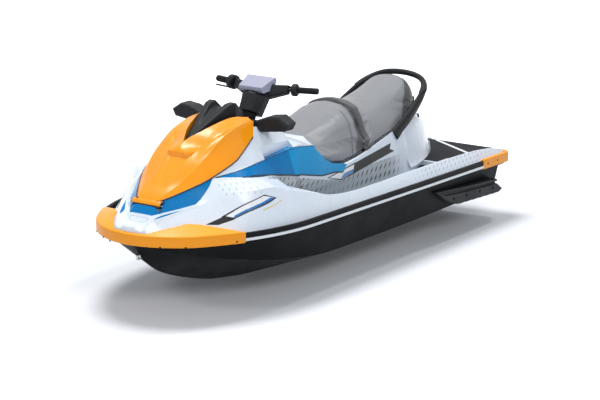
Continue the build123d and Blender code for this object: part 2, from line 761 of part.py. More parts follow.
for side, word in ((1, "left"), (-1, "right")):
    near, far = on_side(side, 0, WIDE)
    own_side = box_between((ASTERN, near, LOW), (AHEAD, far, HIGH))
    with BuildPart() as rail:
        add(rail_prism)
        add(rail_slab, mode=Mode.INTERSECT)
        add(own_side, mode=Mode.INTERSECT)
        add(envelope, mode=Mode.SUBTRACT)
    export(rail.part, f"rail_{word}")
    with BuildPart() as rail_strip:
        add(strip_prism)
        add(strip_slab, mode=Mode.INTERSECT)
        add(own_side, mode=Mode.INTERSECT)
        add(rail_prism, mode=Mode.SUBTRACT)
    export(rail_strip.part, f"rail_strip_{word}")

# Bow bumper: an upright band round the nose, and above it a broad sloping part that lies on the deck
BUMPER_CREST = stretched("xz", [(2690, 232), (2760, 254), (2850, 281), (2900, 288), (2960, 278), (3060, 266),
                                (3140, 244)])
bumper_band_top = BUMPER_HEIGHT / 2
with BuildPart() as bumper_top:
    loft([bow_outline(bond_plane(bumper_band_top), BUMPER_PROUD),
          bow_outline(bond_plane(bumper_band_top + BUMPER_TOP_RISE), -BUMPER_TOP_IN)], ruled=True)
    add(bond_slab(0, HIGH, BUMPER_REAR_X, AHEAD), mode=Mode.INTERSECT)
    add(side_prism(BUMPER_CREST + [(AHEAD, 0), (BUMPER_CREST[0][0], 0)], WIDE), mode=Mode.INTERSECT)

with BuildPart() as bumper_body:
    add(outline_prism(BUMPER_PROUD, RIM_LOW_Z, RIM_HIGH_Z))
    add(bond_slab(-bumper_band_top, bumper_band_top, BUMPER_REAR_X, AHEAD), mode=Mode.INTERSECT)
    add(bumper_top.part)
    add(hull.part, mode=Mode.SUBTRACT)
    add(deck.part, mode=Mode.SUBTRACT)
bumper_solids = bumper_body.part.solids().sort_by(SortBy.VOLUME)
with BuildPart() as bow_bumper:
    add(bumper_solids[-1])
export(bow_bumper.part, "bow_bumper")

# Stern bumpers: one round each corner
stern_low = STERN_BUMPER_LIFT - STERN_BUMPER_HEIGHT / 2
stern_slab = bond_slab(stern_low, stern_low + STERN_BUMPER_HEIGHT, ASTERN, STERN_BUMPER_LENGTH)
for side, word in ((1, "left"), (-1, "right")):
    near, far = on_side(side, FAR, WIDE)
    with BuildPart() as stern_bumper:
        add(outline_prism(BUMPER_PROUD, RIM_LOW_Z, RIM_HIGH_Z))
        add(stern_slab, mode=Mode.INTERSECT)
        add(box_between((ASTERN, near, LOW), (STERN_BUMPER_LENGTH, far, HIGH)), mode=Mode.INTERSECT)
        add(envelope, mode=Mode.SUBTRACT)
    export(stern_bumper.part, f"stern_bumper_{word}")

# Seats: saddle sections along the craft, cut below by the line they share with the pedestal
SEAT_FRONT_STATIONS = stretched("xyzyz", [
    # x, side y, side z, top y, top z
    (1062, 270, 470, 150, 640),
    (1130, 272, 462, 150, 646),
    (1246, 272, 430, 150, 632),
    (1386, 273, 400, 140, 594),
    (1525, 268, 410, 120, 555),
    (1640, 256, 440, 105, 524),
    (1768, 232, 478, 95, 500),
])
SEAT_REAR_STATIONS = stretched("xyzyz", [
    # x, side y, side z, top y, top z
    (452, 150, 600, 96, 672),
    (500, 178, 590, 118, 684),
    (560, 203, 560, 132, 674),
    (700, 232, 500, 150, 628),
    (900, 262, 440, 162, 598),
    (1190, 272, 420, 150, 612),
])
SEAT_SECTIONS = 8
SEAT_BASE_Z = 300
SEAT_CROWN = 6            # rise from the edge of the top to its middle
SEAT_SHOULDER = 40        # rounding between top and side
BOLSTER_GROW = 14         # arch between the cushions, proud of the front one


def saddle(stations, grow=0.0):
    """A seat as a loft of rounded saddle sections."""
    with BuildPart() as form:
        loft([
            section(x, [(0, SEAT_BASE_Z), (side_y + grow, SEAT_BASE_Z), (side_y + grow, side_z),
                        (top_y + SEAT_SHOULDER + grow, top_z - SEAT_SHOULDER),
                        (top_y + grow, top_z - SEAT_CROWN + grow), (0, top_z + grow)])
            for x, side_y, side_z, top_y, top_z in even_rows(stations, SEAT_SECTIONS)
        ])
    return form.part


def split_prism(rear_line, front_line):
    """Room between two lines seen from the side, each from its upper to its lower end."""
    return side_prism(rear_line + list(reversed(front_line)), FAR)


seat_top_points = [(seat_rear_x, HIGH), (SEAT_LINE[0][0] - SEAM, HIGH)]
with BuildPart() as seat_above:
    add(side_prism([(x - SEAM, z + SEAM) for x, z in SEAT_LINE] + seat_top_points, FAR))
    add(side_prism([(x - SEAM, z - SEAM) for x, z in SEAT_LINE] + seat_top_points, FAR), mode=Mode.INTERSECT)
rear_split = [(x - SOFT_GAP, z) for x, z in CUSHION_SPLIT_REAR]
front_split = [(x + SEAM, z) for x, z in CUSHION_SPLIT_FRONT]
stern_wall = [(seat_rear_x, CUSHION_SPLIT_REAR[0][1]), (seat_rear_x, SEAT_BASE_Z)]
bow_wall = [(SEAT_LINE[1][0], CUSHION_SPLIT_REAR[0][1]), (SEAT_LINE[1][0], SEAT_BASE_Z)]

with BuildPart() as seat_front:
    add(saddle(SEAT_FRONT_STATIONS))
    add(seat_above.part, mode=Mode.INTERSECT)
    add(split_prism(front_split, bow_wall), mode=Mode.INTERSECT)
export(seat_front.part, "seat_front")

with BuildPart() as seat_bolster:
    add(saddle(SEAT_FRONT_STATIONS, BOLSTER_GROW))
    add(seat_above.part, mode=Mode.INTERSECT)
    add(split_prism(CUSHION_SPLIT_REAR, CUSHION_SPLIT_FRONT), mode=Mode.INTERSECT)
export(seat_bolster.part, "seat_bolster")

with BuildPart() as seat_rear:
    add(saddle(SEAT_REAR_STATIONS))
    add(seat_above.part, mode=Mode.INTERSECT)
    add(split_prism(stern_wall, rear_split), mode=Mode.INTERSECT)
export(seat_rear.part, "seat_rear")

# Grab handle: bow of tube behind the rear seat, with its feet on the pedestal
HANDLE_DIAMETER = 36
HANDLE_BEND = 34
HANDLE_POINTS = stretched("xyz", [(870, 262, 402), (650, 252, 498), (482, 224, 588), (398, 196, 622),
                                  (362, 150, 652), (352, 0, 682)])
with BuildPart() as grab_handle:
    with BuildLine():
        route = HANDLE_POINTS + [(x, -y, z) for x, y, z in reversed(HANDLE_POINTS[:-1])]
        bow = FilletPolyline(*route, radius=HANDLE_BEND)
    with BuildSketch(Plane(origin=bow @ 0, z_dir=bow % 0)):
        Circle(HANDLE_DIAMETER / 2)
    sweep()
    add(pedestal_form.part, mode=Mode.SUBTRACT)
    add(seat_rear.part, mode=Mode.SUBTRACT)
export(grab_handle.part, "grab_handle")

# Block with the seat latch at the rear end of the pedestal
TAIL_LINE = stretched("xz", [(250, 346), (226, 372), (236, 400), (350, 436), (420, 420), (420, 346)])
TAIL_HALF = abreast(62)
with BuildPart() as tail_block:
    add(side_prism(TAIL_LINE, TAIL_HALF))
    add(pedestal_form.part, mode=Mode.SUBTRACT)
export(tail_block.part, "tail_block")

# Mats on the platform and in the footwells
with BuildPart() as stern_mat:
    add(box_between((MAT_EDGE, -PLATFORM_HALF + MAT_EDGE, PLATFORM_Z),
                    (WELL_REAR_X - MAT_EDGE, PLATFORM_HALF - MAT_EDGE, PLATFORM_Z + MAT_THICK)))
    add(pedestal_form.part, mode=Mode.SUBTRACT)
export(stern_mat.part, "stern_mat")

for side, word in ((1, "left"), (-1, "right")):
    with BuildPart() as well_mat:
        add(well_prism(side, -WELL_MAT_EDGE, WELL_FLOOR_Z, WELL_FLOOR_Z + MAT_THICK))
        add(pedestal_form.part, mode=Mode.SUBTRACT)
    export(well_mat.part, f"well_mat_{word}")

# Sponsons on the hull sides near the stern: a thin rail along the top, a groove, and the fin below it
SPONSON_OUTER = HALF_BEAM + 24
SPONSON_INNER = abreast(514)
SPONSON_LINE = stretched("xz", [(905, 98), (560, 66), (170, 38), (170, 8), (104, -36), (150, -52), (643, -27),
                                (720, -4), (800, 34)])
SPONSON_GROOVE = stretched("xz", [(880, 88), (560, 50), (140, 21), (140, 6), (560, 33), (790, 56)])
SPONSON_GROOVE_DEPTH = 14
for side, word in ((1, "left"), (-1, "right")):
    near, far = on_side(side, SPONSON_INNER, SPONSON_OUTER)
    groove_near, groove_far = on_side(side, SPONSON_OUTER - SPONSON_GROOVE_DEPTH, WIDE)
    with BuildPart() as groove:
        add(side_prism(SPONSON_GROOVE, WIDE))
        add(box_between((0, groove_near, LOW), (AHEAD, groove_far, HIGH)), mode=Mode.INTERSECT)
    with BuildPart() as sponson:
        add(side_prism(SPONSON_LINE, WIDE))
        add(box_between((0, near, LOW), (AHEAD, far, HIGH)), mode=Mode.INTERSECT)
        add(groove.part, mode=Mode.SUBTRACT)
        add(hull.part, mode=Mode.SUBTRACT)
        add(deck.part, mode=Mode.SUBTRACT)
    export(sponson.part, f"sponson_{word}")


def jet_ring(profile):
    """A body of revolution about the jet's own axis from an outline of x, radius."""
    with BuildPart() as ring:
        with BuildSketch(Plane(origin=(0, 0, JET_Z), x_dir=(1, 0, 0), z_dir=(0, -1, 0))):
            with BuildLine():
                Polyline(*profile, close=True)
            make_face()
        revolve(axis=Axis((0, 0, JET_Z), (1, 0, 0)))
    return ring.part


# Pump housing with its outlet cone, stator vanes, top bracket and ears for nozzle and bucket
cone_start_x = PUMP_REAR_X - CONE_LENGTH
stator_end_x = STATOR_START_X + STATOR_LENGTH
ear_root_x = PUMP_REAR_X + EAR_ROOT
arm_near = BUCKET_HALF + BUCKET_EAR_GAP
arm_far = arm_near + EAR_THICK
with BuildPart() as pump_housing:
    add(jet_ring([(PUMP_FRONT_X, PUMP_BORE), (PUMP_FRONT_X, PUMP_OUTER), (PUMP_REAR_X, PUMP_OUTER),
                  (cone_start_x, CONE_OUTER), (CONE_END_X, CONE_OUTER), (CONE_END_X, CONE_BORE),
                  (cone_start_x, CONE_BORE), (PUMP_REAR_X, PUMP_BORE)]))
    add(jet_ring([(STATOR_START_X, SHAFT_RADIUS + FIT), (STATOR_START_X, IMPELLER_HUB),
                  (stator_end_x, IMPELLER_HUB), (stator_end_x, SHAFT_RADIUS + FIT)]))
    with BuildSketch(cross_plane(STATOR_START_X + VANE_INSET)):
        with Locations((0, JET_Z)):
            with PolarLocations((IMPELLER_HUB + PUMP_BORE) / 2, STATOR_VANES):
                Rectangle(PUMP_BORE - IMPELLER_HUB + STATOR_THICK, STATOR_THICK)
    extrude(amount=STATOR_LENGTH - 2 * VANE_INSET)
    add(box_between((PUMP_REAR_X + BRACKET_INSET, -BRACKET_HALF, JET_Z + PUMP_OUTER - BRACKET_ROOT),
                    (PUMP_FRONT_X - BRACKET_INSET, BRACKET_HALF, TUNNEL_TOP_Z)))
    for up in (1, -1):
        ear_ends = (JET_Z + up * NOZZLE_EAR_START, JET_Z + up * (NOZZLE_EAR_START + EAR_THICK))
        add(box_between((NOZZLE_PIVOT_X - EAR_HALF, -EAR_HALF, min(ear_ends)),
                        (ear_root_x, EAR_HALF, max(ear_ends))))
        pin_far = JET_Z + up * (NOZZLE_EAR_START + EAR_THICK / 2)
        pin_near = JET_Z + up * (NOZZLE_BOSS_TOP - NOZZLE_BOSS_HEIGHT + PIN_SHORT)
        add(rod((NOZZLE_PIVOT_X, 0, pin_far), (NOZZLE_PIVOT_X, 0, pin_near), PIVOT_PIN_RADIUS))
    for side in (1, -1):
        near, far = on_side(side, arm_near, arm_far)
        add(box_between((BUCKET_PIVOT_X - BUCKET_EAR_HALF, near, JET_Z - BUCKET_EAR_HALF),
                        (ARM_WEB_X + ARM_WEB_LENGTH, far, JET_Z + BUCKET_EAR_HALF)))
        near, far = on_side(side, PUMP_OUTER - ARM_ROOT_DEPTH, arm_far)
        add(box_between((ARM_WEB_X, near, JET_Z - BUCKET_EAR_HALF),
                        (ARM_WEB_X + ARM_WEB_LENGTH, far, JET_Z + BUCKET_EAR_HALF)))
        add(rod((BUCKET_PIVOT_X, side * (arm_near + EAR_THICK / 2), JET_Z),
                (BUCKET_PIVOT_X, side * (BUCKET_HALF - BUCKET_WALL - PIN_SHORT), JET_Z), PIVOT_PIN_RADIUS))
export(pump_housing.part, "pump_housing")

# Impeller with its shaft
blade_radius = PUMP_BORE - IMPELLER_CLEARANCE
hub_front_x = PUMP_FRONT_X - IMPELLER_NOSE - NOSE_INSET
with BuildPart() as impeller:
    add(rod((ARM_WEB_X, 0, JET_Z), (TUNNEL_LENGTH - SHAFT_GAP, 0, JET_Z), SHAFT_RADIUS))
    add(jet_ring([(IMPELLER_REAR_X, 0), (IMPELLER_REAR_X, IMPELLER_HUB),
                  (hub_front_x, IMPELLER_HUB - HUB_TAPER),
                  (hub_front_x + IMPELLER_NOSE, SHAFT_RADIUS + HUB_TAPER), (hub_front_x + IMPELLER_NOSE, 0)]))
    for turn in range(IMPELLER_BLADES):
        faces = []
        for x, twist in ((IMPELLER_REAR_X + BLADE_INSET, 0), (hub_front_x, IMPELLER_TWIST)):
            with BuildSketch(cross_plane(x)) as blade:
                with Locations((0, JET_Z)):
                    with PolarLocations((IMPELLER_HUB - BLADE_ROOT + blade_radius) / 2, 1,
                                        start_angle=turn * 360 / IMPELLER_BLADES + twist):
                        Rectangle(blade_radius - IMPELLER_HUB + BLADE_ROOT, BLADE_THICK)
            faces.append(blade.sketch)
        loft(faces)
    add(jet_ring([(IMPELLER_REAR_X, blade_radius), (IMPELLER_REAR_X, PUMP_OUTER), (PUMP_FRONT_X, PUMP_OUTER),
                  (PUMP_FRONT_X, blade_radius)]), mode=Mode.SUBTRACT)
export(impeller.part, "impeller")

# Steered nozzle
with BuildPart() as steering_nozzle:
    add(jet_ring([(NOZZLE_MOUTH_X, NOZZLE_MOUTH_BORE), (NOZZLE_MOUTH_X, NOZZLE_MOUTH_BORE + NOZZLE_WALL),
                  (NOZZLE_WAIST_X, NOZZLE_WAIST_BORE + NOZZLE_WALL),
                  (NOZZLE_END_X, NOZZLE_END_BORE + NOZZLE_WALL),
                  (NOZZLE_END_X, NOZZLE_END_BORE), (NOZZLE_WAIST_X, NOZZLE_WAIST_BORE)]))
    for up in (1, -1):
        boss_low = min(up * NOZZLE_BOSS_TOP, up * (NOZZLE_BOSS_TOP - NOZZLE_BOSS_HEIGHT))
        with BuildSketch(Plane.XY.offset(JET_Z + boss_low)):
            with Locations((NOZZLE_PIVOT_X, 0)):
                Circle(NOZZLE_BOSS_RADIUS)
        extrude(amount=NOZZLE_BOSS_HEIGHT)
    with BuildSketch(Plane.XY.offset(JET_Z - PUMP_OUTER)):
        with Locations((NOZZLE_PIVOT_X, 0)):
            Circle(PIVOT_PIN_RADIUS + FIT)
    extrude(amount=2 * PUMP_OUTER, mode=Mode.SUBTRACT)
export(steering_nozzle.part, "steering_nozzle")

# Reverse bucket, drawn lowered and then turned up to where it rests
bucket_plane = Plane(origin=(BUCKET_PIVOT_X, 0, JET_Z), x_dir=(1, 0, 0), z_dir=(0, -1, 0))
with BuildPart() as bucket_low:
    with BuildSketch(bucket_plane):
        with BuildLine():
            outer = CenterArc((0, 0), BUCKET_RADIUS + BUCKET_WALL, 180 - BUCKET_SPAN / 2, BUCKET_SPAN)
            Line(outer @ 1, (0, 0))
            Line((0, 0), outer @ 0)
        make_face()
        Circle(BUCKET_EYE)
    extrude(amount=BUCKET_HALF, both=True)
    with BuildSketch(bucket_plane):
        Circle(BUCKET_RADIUS)
    extrude(amount=BUCKET_HALF - BUCKET_WALL, both=True, mode=Mode.SUBTRACT)
    with BuildSketch(bucket_plane):
        Circle(PIVOT_PIN_RADIUS + FIT)
    extrude(amount=BUCKET_HALF + BUCKET_WALL, both=True, mode=Mode.SUBTRACT)
reverse_bucket = bucket_low.part.rotate(Axis((BUCKET_PIVOT_X, 0, JET_Z), (0, 1, 0)), BUCKET_DROP)
export(reverse_bucket, "reverse_bucket")

# Ride plate under the pump and grate over the intake
plate_front_x = PUMP_FRONT_X + PLATE_AHEAD
with BuildPart() as ride_plate:
    add(box_between((TRANSOM_X, -TUNNEL_HALF + PLATE_EDGE, PLATE_Z - PLATE_THICK),
                    (plate_front_x, TUNNEL_HALF - PLATE_EDGE, PLATE_Z)))
    for side in (1, -1):
        near, far = on_side(side, TUNNEL_HALF - PLATE_LIP, TUNNEL_HALF)
        add(box_between((TRANSOM_X, near, PLATE_Z - PLATE_THICK),
                        (plate_front_x, far, PLATE_Z + PLATE_LIP_HEIGHT)))
    fillet(ride_plate.edges().filter_by(Axis.X).group_by(Axis.Z)[0], PLATE_ROUND)
export(ride_plate.part, "ride_plate")

grate_low = PLATE_Z - GRATE_UNDER
grate_high = PLATE_Z + GRATE_OVER
with BuildPart() as intake_grate:
    for x in (plate_front_x, TUNNEL_LENGTH - GRATE_BAR):
        add(box_between((x, -TUNNEL_HALF, grate_low), (x + GRATE_BAR, TUNNEL_HALF, grate_high)))
    for i in range(GRATE_RIBS):
        y = (i - (GRATE_RIBS - 1) / 2) * GRATE_PITCH
        add(box_between((plate_front_x, y - GRATE_RIB / 2, grate_low),
                        (TUNNEL_LENGTH, y + GRATE_RIB / 2, grate_high)))
export(intake_grate.part, "intake_grate")

# Meter cowl ahead of the handlebar, with two peaks and a valley between them
COWL_SIDE = stretched("xz", [(2576, 600), (2576, 652), (2286, 812), (2236, 818), (2170, 764), (2150, 700),
                             (2150, 600)])
COWL_PLAN = stretched("xy", [(2574, 0), (2548, 14), (2292, 84), (2236, 92), (2146, 84)])
COWL_VALLEY = stretched("xy", [(2480, 0), (2300, 40), (2236, 46), (2120, 46)])
COWL_VALLEY_LINE = stretched("xz", [(2500, 700), (2300, 778), (2236, 784), (2120, 720)])
COWL_FOOT_Z = 500
cowl_valley_top = [(COWL_VALLEY_LINE[-1][0], HIGH), (COWL_VALLEY_LINE[0][0], HIGH)]
with BuildPart() as cowl_valley:
    add(plan_prism(mirrored(COWL_VALLEY + [(COWL_VALLEY[-1][0], 0)]), COWL_FOOT_Z, HIGH))
    add(side_prism(COWL_VALLEY_LINE + cowl_valley_top, FAR), mode=Mode.INTERSECT)
with BuildPart() as meter_cowl:
    add(side_prism(COWL_SIDE, FAR))
    add(plan_prism(mirrored(COWL_PLAN + [(COWL_PLAN[-1][0], 0)]), COWL_FOOT_Z, HIGH), mode=Mode.INTERSECT)
    add(cowl_valley.part, mode=Mode.SUBTRACT)
    add(fore_form.part, mode=Mode.SUBTRACT)
export(meter_cowl.part, "meter_cowl")

# Mirrors: wing shaped housings beside the hood's horns, with the glass facing aft
with BuildPart() as beside_hood:
    add(fore_form.part)
    add(collar_form.part)
for side, word in ((1, "left"), (-1, "right")):
    outer_line = [(side * y, z) for y, z in MIRROR_SHAPE]
    with BuildSketch(cross_plane(MIRROR_X)) as glass_face:
        with BuildLine():
            Polyline(*[(side * y, z) for y, z in MIRROR_SHAPE[2:] + MIRROR_GLASS_CORNER], close=True)
        make_face()
        offset(amount=-MIRROR_RIM)
    with BuildPart() as mirror_housing:
        with BuildSketch(cross_plane(MIRROR_X)):
            with BuildLine():
                Polyline(*outer_line, close=True)
            make_face()
        extrude(amount=MIRROR_LENGTH)
        chamfer(mirror_housing.faces().sort_by(Axis.X)[-1].edges(), MIRROR_ROUND)
        add(beside_hood.part, mode=Mode.SUBTRACT)
        extrude(glass_face.sketch, amount=MIRROR_RECESS, mode=Mode.SUBTRACT)
    export(mirror_housing.part, f"mirror_{word}")
    with BuildPart() as mirror_glass:
        extrude(glass_face.sketch.moved(Location((MIRROR_RECESS - GLASS_THICK, 0, 0))), amount=GLASS_THICK)
    export(mirror_glass.part, f"mirror_glass_{word}")

# Storage bin under the hood
with BuildPart() as storage_bin:
    add(bin_low_space)
    add(bin_mouth_space)
    add(box_between((BIN_REAR_X + BIN_WALL, -BIN_HALF + BIN_WALL, BIN_FLOOR_Z + BIN_WALL),
                    (BIN_FRONT_X - BIN_WALL, BIN_HALF - BIN_WALL, BIN_ROOF_Z - BIN_WALL)), mode=Mode.SUBTRACT)
    add(box_between((BIN_MOUTH_X + BIN_WALL, -BIN_HALF + BIN_WALL, BIN_FLOOR_Z + BIN_WALL),
                    (BIN_FRONT_X - BIN_WALL, BIN_HALF - BIN_WALL, HIGH)), mode=Mode.SUBTRACT)
    add(hood_space, mode=Mode.SUBTRACT)
export(storage_bin.part, "storage_bin")

# Steering: everything here turns with the bar about the column
with BuildPart() as steering_post:
    with BuildSketch(column_plane(-POST_DEPTH)):
        Circle(POST_RADIUS)
    extrude(amount=POST_DEPTH + BAR_RISE - BAR_DIAMETER)
export(steering_post.part, "steering_post")

with BuildPart() as bar:
    with BuildLine():
        half = [on_column(ahead, port, BAR_RISE + above) for ahead, port, above in BAR_POINTS]
        tube_line = FilletPolyline(*([(x, -y, z) for x, y, z in reversed(half)] + half), radius=BAR_BEND)
    with BuildSketch(Plane(origin=tube_line @ 0, z_dir=tube_line % 0)):
        Circle(BAR_DIAMETER / 2)
    sweep()
export(bar.part, "handlebar")

tube_ends = (("left", tube_line @ 1, tube_line % 1), ("right", tube_line @ 0, -(tube_line % 0)))
for word, end, outward in tube_ends:
    inner = end - outward * (GRIP_LENGTH - GRIP_ROUND)
    with BuildPart() as grip:
        with BuildSketch(Plane(origin=inner, z_dir=outward)):
            Circle(GRIP_DIAMETER / 2)
        extrude(amount=GRIP_LENGTH)
        fillet(grip.edges(), GRIP_ROUND)
        add(bar.part, mode=Mode.SUBTRACT)
    export(grip.part, f"grip_{word}")
    left_hand = word == "left"
    with BuildPart() as pod:
        with BuildSketch(Plane(origin=inner - outward * SWITCH_GAP, z_dir=-outward)):
            Circle(SWITCH_RADIUS if left_hand else THROTTLE_RADIUS)
        extrude(amount=SWITCH_LENGTH if left_hand else THROTTLE_LENGTH)
        chamfer(pod.edges(), SWITCH_ROUND)
        add(bar.part, mode=Mode.SUBTRACT)
    if left_hand:
        switch_box = pod.part
    else:
        throttle_housing = pod.part
export(switch_box, "switch_box")
export(throttle_housing, "throttle_housing")

LEVER_RADIUS = 5
LEVER_START = (16, 0, -10)
LEVER_REACH = (44, 4, -8)
LEVER_RUN = (-26, -100, -2)
lever_root = (tube_line @ 0) + (tube_line % 0) * (GRIP_LENGTH + THROTTLE_LENGTH / 2) + Vector(*LEVER_START)
lever_elbow = lever_root + Vector(*LEVER_REACH)
lever_tip = lever_elbow + Vector(*LEVER_RUN)
with BuildPart() as throttle_lever:
    add(rod(tuple(lever_root), tuple(lever_elbow), LEVER_RADIUS))
    add(rod(tuple(lever_elbow), tuple(lever_tip), LEVER_RADIUS))
    with Locations(tuple(lever_elbow)):
        Sphere(LEVER_RADIUS)
    add(throttle_housing, mode=Mode.SUBTRACT)
    add(bar.part, mode=Mode.SUBTRACT)
export(throttle_lever.part, "throttle_lever")

# Cover over the column: faceted body with two thick arms out to the switches
COVER_RINGS = [
    # height along the column, then ahead and to port of its corners
    (14, [(60, 0), (50, 46), (4, 66), (-56, 56), (-62, 0)]),
    (118, [(68, 0), (56, 42), (8, 84), (-56, 70), (-64, 0)]),
    (184, [(14, 0), (10, 34), (-16, 56), (-50, 48), (-54, 0)]),
]
ARM_ROOT = (-14, 40, 148, 58, 92)      # ahead, to port, along the column, width, height
ARM_TIP = (-48, 184, 196, 40, 52)
ARM_ROUND = 12
with BuildPart() as steering_cover:
    for lower, upper in zip(COVER_RINGS, COVER_RINGS[1:]):
        for rise, ring in (lower, upper):
            with BuildSketch(column_plane(rise)):
                with BuildLine():
                    Polyline(*mirrored(ring), close=True)
                make_face()
        loft()
    for side in (1, -1):
        for ahead, port, rise, width, height in (ARM_ROOT, ARM_TIP):
            arm_plane = Plane(origin=on_column(ahead, side * port, rise), x_dir=column_ahead, z_dir=(0, 1, 0))
            with BuildSketch(arm_plane):
                RectangleRounded(width, height, ARM_ROUND)
        loft()
    add(bar.part, mode=Mode.SUBTRACT)
    add(steering_post.part, mode=Mode.SUBTRACT)
    add(switch_box, mode=Mode.SUBTRACT)
    add(throttle_housing, mode=Mode.SUBTRACT)
export(steering_cover.part, "steering_cover")

# Pad on the bar: a plate that rises to the rear
PAD_LINE = [(70, 152), (-10, 248), (-26, 236), (-26, 176), (40, 128), (60, 134)]   # ahead, along the column
PAD_PLAN = [(74, 0), (74, 78), (-40, 104), (-40, 0)]                               # ahead, to port
with BuildPart() as pad_body:
    with BuildSketch(Plane(origin=STEER_FOOT, x_dir=column_ahead, z_dir=(0, -1, 0))):
        with BuildLine():
            Polyline(*PAD_LINE, close=True)
        make_face()
    extrude(amount=FAR, both=True)
    with BuildSketch(column_plane(0)):
        with BuildLine():
            Polyline(*mirrored(PAD_PLAN), close=True)
        make_face()
    extrude(amount=FAR, mode=Mode.INTERSECT)
    add(steering_cover.part, mode=Mode.SUBTRACT)
    add(bar.part, mode=Mode.SUBTRACT)
    add(steering_post.part, mode=Mode.SUBTRACT)
pad_solid = pad_body.part.solids().sort_by(SortBy.VOLUME)[-1]
with BuildPart() as bar_pad:
    add(pad_solid)
export(bar_pad.part, "bar_pad")

# Towing eyes at bow and stern, and drain plugs in the transom
with BuildPart() as bow_eye:
    with BuildSketch(side_plane(BOW_EYE_THICK / 2)):
        with Locations((BOW_EYE_X, BOW_EYE_Z)):
            Circle(EYE_BORE + EYE_WALL)
    extrude(amount=BOW_EYE_THICK)
    add(hull.part, mode=Mode.SUBTRACT)
    with BuildSketch(side_plane(BOW_EYE_THICK / 2)):
        with Locations((BOW_EYE_X, BOW_EYE_Z)):
            Circle(EYE_BORE)
    extrude(amount=BOW_EYE_THICK, mode=Mode.SUBTRACT)
export(bow_eye.part, "bow_eye")

with BuildPart() as stern_eye:
    with BuildSketch(Plane.XY.offset(STERN_EYE_Z - STERN_EYE_THICK / 2)):
        with Locations((STERN_EYE_X / 2, 0)):
            Rectangle(-STERN_EYE_X, 2 * (EYE_BORE + 1))
        with Locations((STERN_EYE_X, 0)):
            Circle(EYE_BORE + EYE_WALL)
            Circle(EYE_BORE, mode=Mode.SUBTRACT)
    extrude(amount=STERN_EYE_THICK)
    with BuildSketch(Plane(origin=(0, 0, STERN_EYE_Z), z_dir=(-1, 0, 0))):
        Rectangle(*STERN_PLATE)
    extrude(amount=STERN_PLATE_THICK)
export(stern_eye.part, "stern_eye")

with BuildPart() as drain_plugs:
    for side in (1, -1):
        with BuildSketch(Plane(origin=(TRANSOM_X, side * PLUG_Y, PLUG_Z), z_dir=(-1, 0, 0))):
            Circle(PLUG_RADIUS)
        extrude(amount=PLUG_DEPTH)
        with BuildSketch(Plane(origin=(TRANSOM_X - PLUG_DEPTH, side * PLUG_Y, PLUG_Z), z_dir=(-1, 0, 0))):
            Rectangle(*PLUG_KEY)
        extrude(amount=PLUG_KEY_DEPTH)
export(drain_plugs.part, "drain_plugs")
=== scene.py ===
import bpy, bmesh, math, json
from mathutils import Vector, Matrix
from mathutils.bvhtree import BVHTree

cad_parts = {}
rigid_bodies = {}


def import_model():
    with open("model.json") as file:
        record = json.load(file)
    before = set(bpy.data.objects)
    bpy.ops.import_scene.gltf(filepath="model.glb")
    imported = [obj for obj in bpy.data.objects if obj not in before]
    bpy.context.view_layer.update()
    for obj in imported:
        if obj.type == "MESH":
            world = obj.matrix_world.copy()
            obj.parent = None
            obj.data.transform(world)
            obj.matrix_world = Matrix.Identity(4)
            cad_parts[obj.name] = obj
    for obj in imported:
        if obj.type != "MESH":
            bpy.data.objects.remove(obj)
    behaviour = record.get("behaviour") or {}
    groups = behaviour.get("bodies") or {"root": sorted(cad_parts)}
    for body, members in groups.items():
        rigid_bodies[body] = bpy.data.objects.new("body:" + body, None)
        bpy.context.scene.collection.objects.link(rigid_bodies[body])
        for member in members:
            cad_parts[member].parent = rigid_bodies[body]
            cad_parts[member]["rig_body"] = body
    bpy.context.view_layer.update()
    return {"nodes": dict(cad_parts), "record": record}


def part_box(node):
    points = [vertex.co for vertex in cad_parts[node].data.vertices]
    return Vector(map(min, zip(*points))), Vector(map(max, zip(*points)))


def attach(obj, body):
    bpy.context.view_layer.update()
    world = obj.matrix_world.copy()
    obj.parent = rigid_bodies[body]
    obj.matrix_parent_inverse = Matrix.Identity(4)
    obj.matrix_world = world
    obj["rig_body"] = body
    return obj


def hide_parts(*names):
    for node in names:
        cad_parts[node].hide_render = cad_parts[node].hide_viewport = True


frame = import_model()
nodes = frame["nodes"]
slotOf = {entry["node"]: entry["material_slot"] for entry in frame["record"]["subparts"]}
print("frame loaded:", len(nodes), "nodes")

cameraSetup = {
    "azimuth": 124.43, "elevation": 14.18,
    "aim": (1.570, 0.0, 0.280), "slideRight": 0.055, "slideUp": -0.167,
    "distance": 13.791, "lens": 141.18,
}


def makeCamera(values):
    a, e = math.radians(values["azimuth"]), math.radians(values["elevation"])
    back = Vector((math.sin(a) * math.cos(e), -math.cos(a) * math.cos(e), math.sin(e)))
    right = Vector((math.cos(a), math.sin(a), 0))
    up = back.cross(right)
    cam = bpy.data.objects.new("photoCamera", bpy.data.cameras.new("photoCamera"))
    bpy.context.collection.objects.link(cam)
    target = Vector(values["aim"]) + right * values["slideRight"] + up * values["slideUp"]
    cam.location = target + back * values["distance"]
    cam.rotation_mode = "QUATERNION"
    cam.rotation_quaternion = Matrix((right, up, back)).transposed().to_quaternion()
    cam.data.lens = values["lens"]
    cam.data.clip_start, cam.data.clip_end = 0.5, 80
    bpy.context.scene.camera = cam


makeCamera(cameraSetup)
bpy.context.scene.view_settings.view_transform = "Standard"


# small helpers for node trees
def addNode(tree, kind, **values):
    node = tree.nodes.new(kind)
    for key, value in values.items():
        setattr(node, key, value)
    return node


def maths(tree, operation, *sources):
    node = addNode(tree, "ShaderNodeMath", operation=operation)
    for socket, source in zip(node.inputs, sources):
        if isinstance(source, (int, float)):
            socket.default_value = source
        else:
            tree.links.new(source, socket)
    return node.outputs[0]


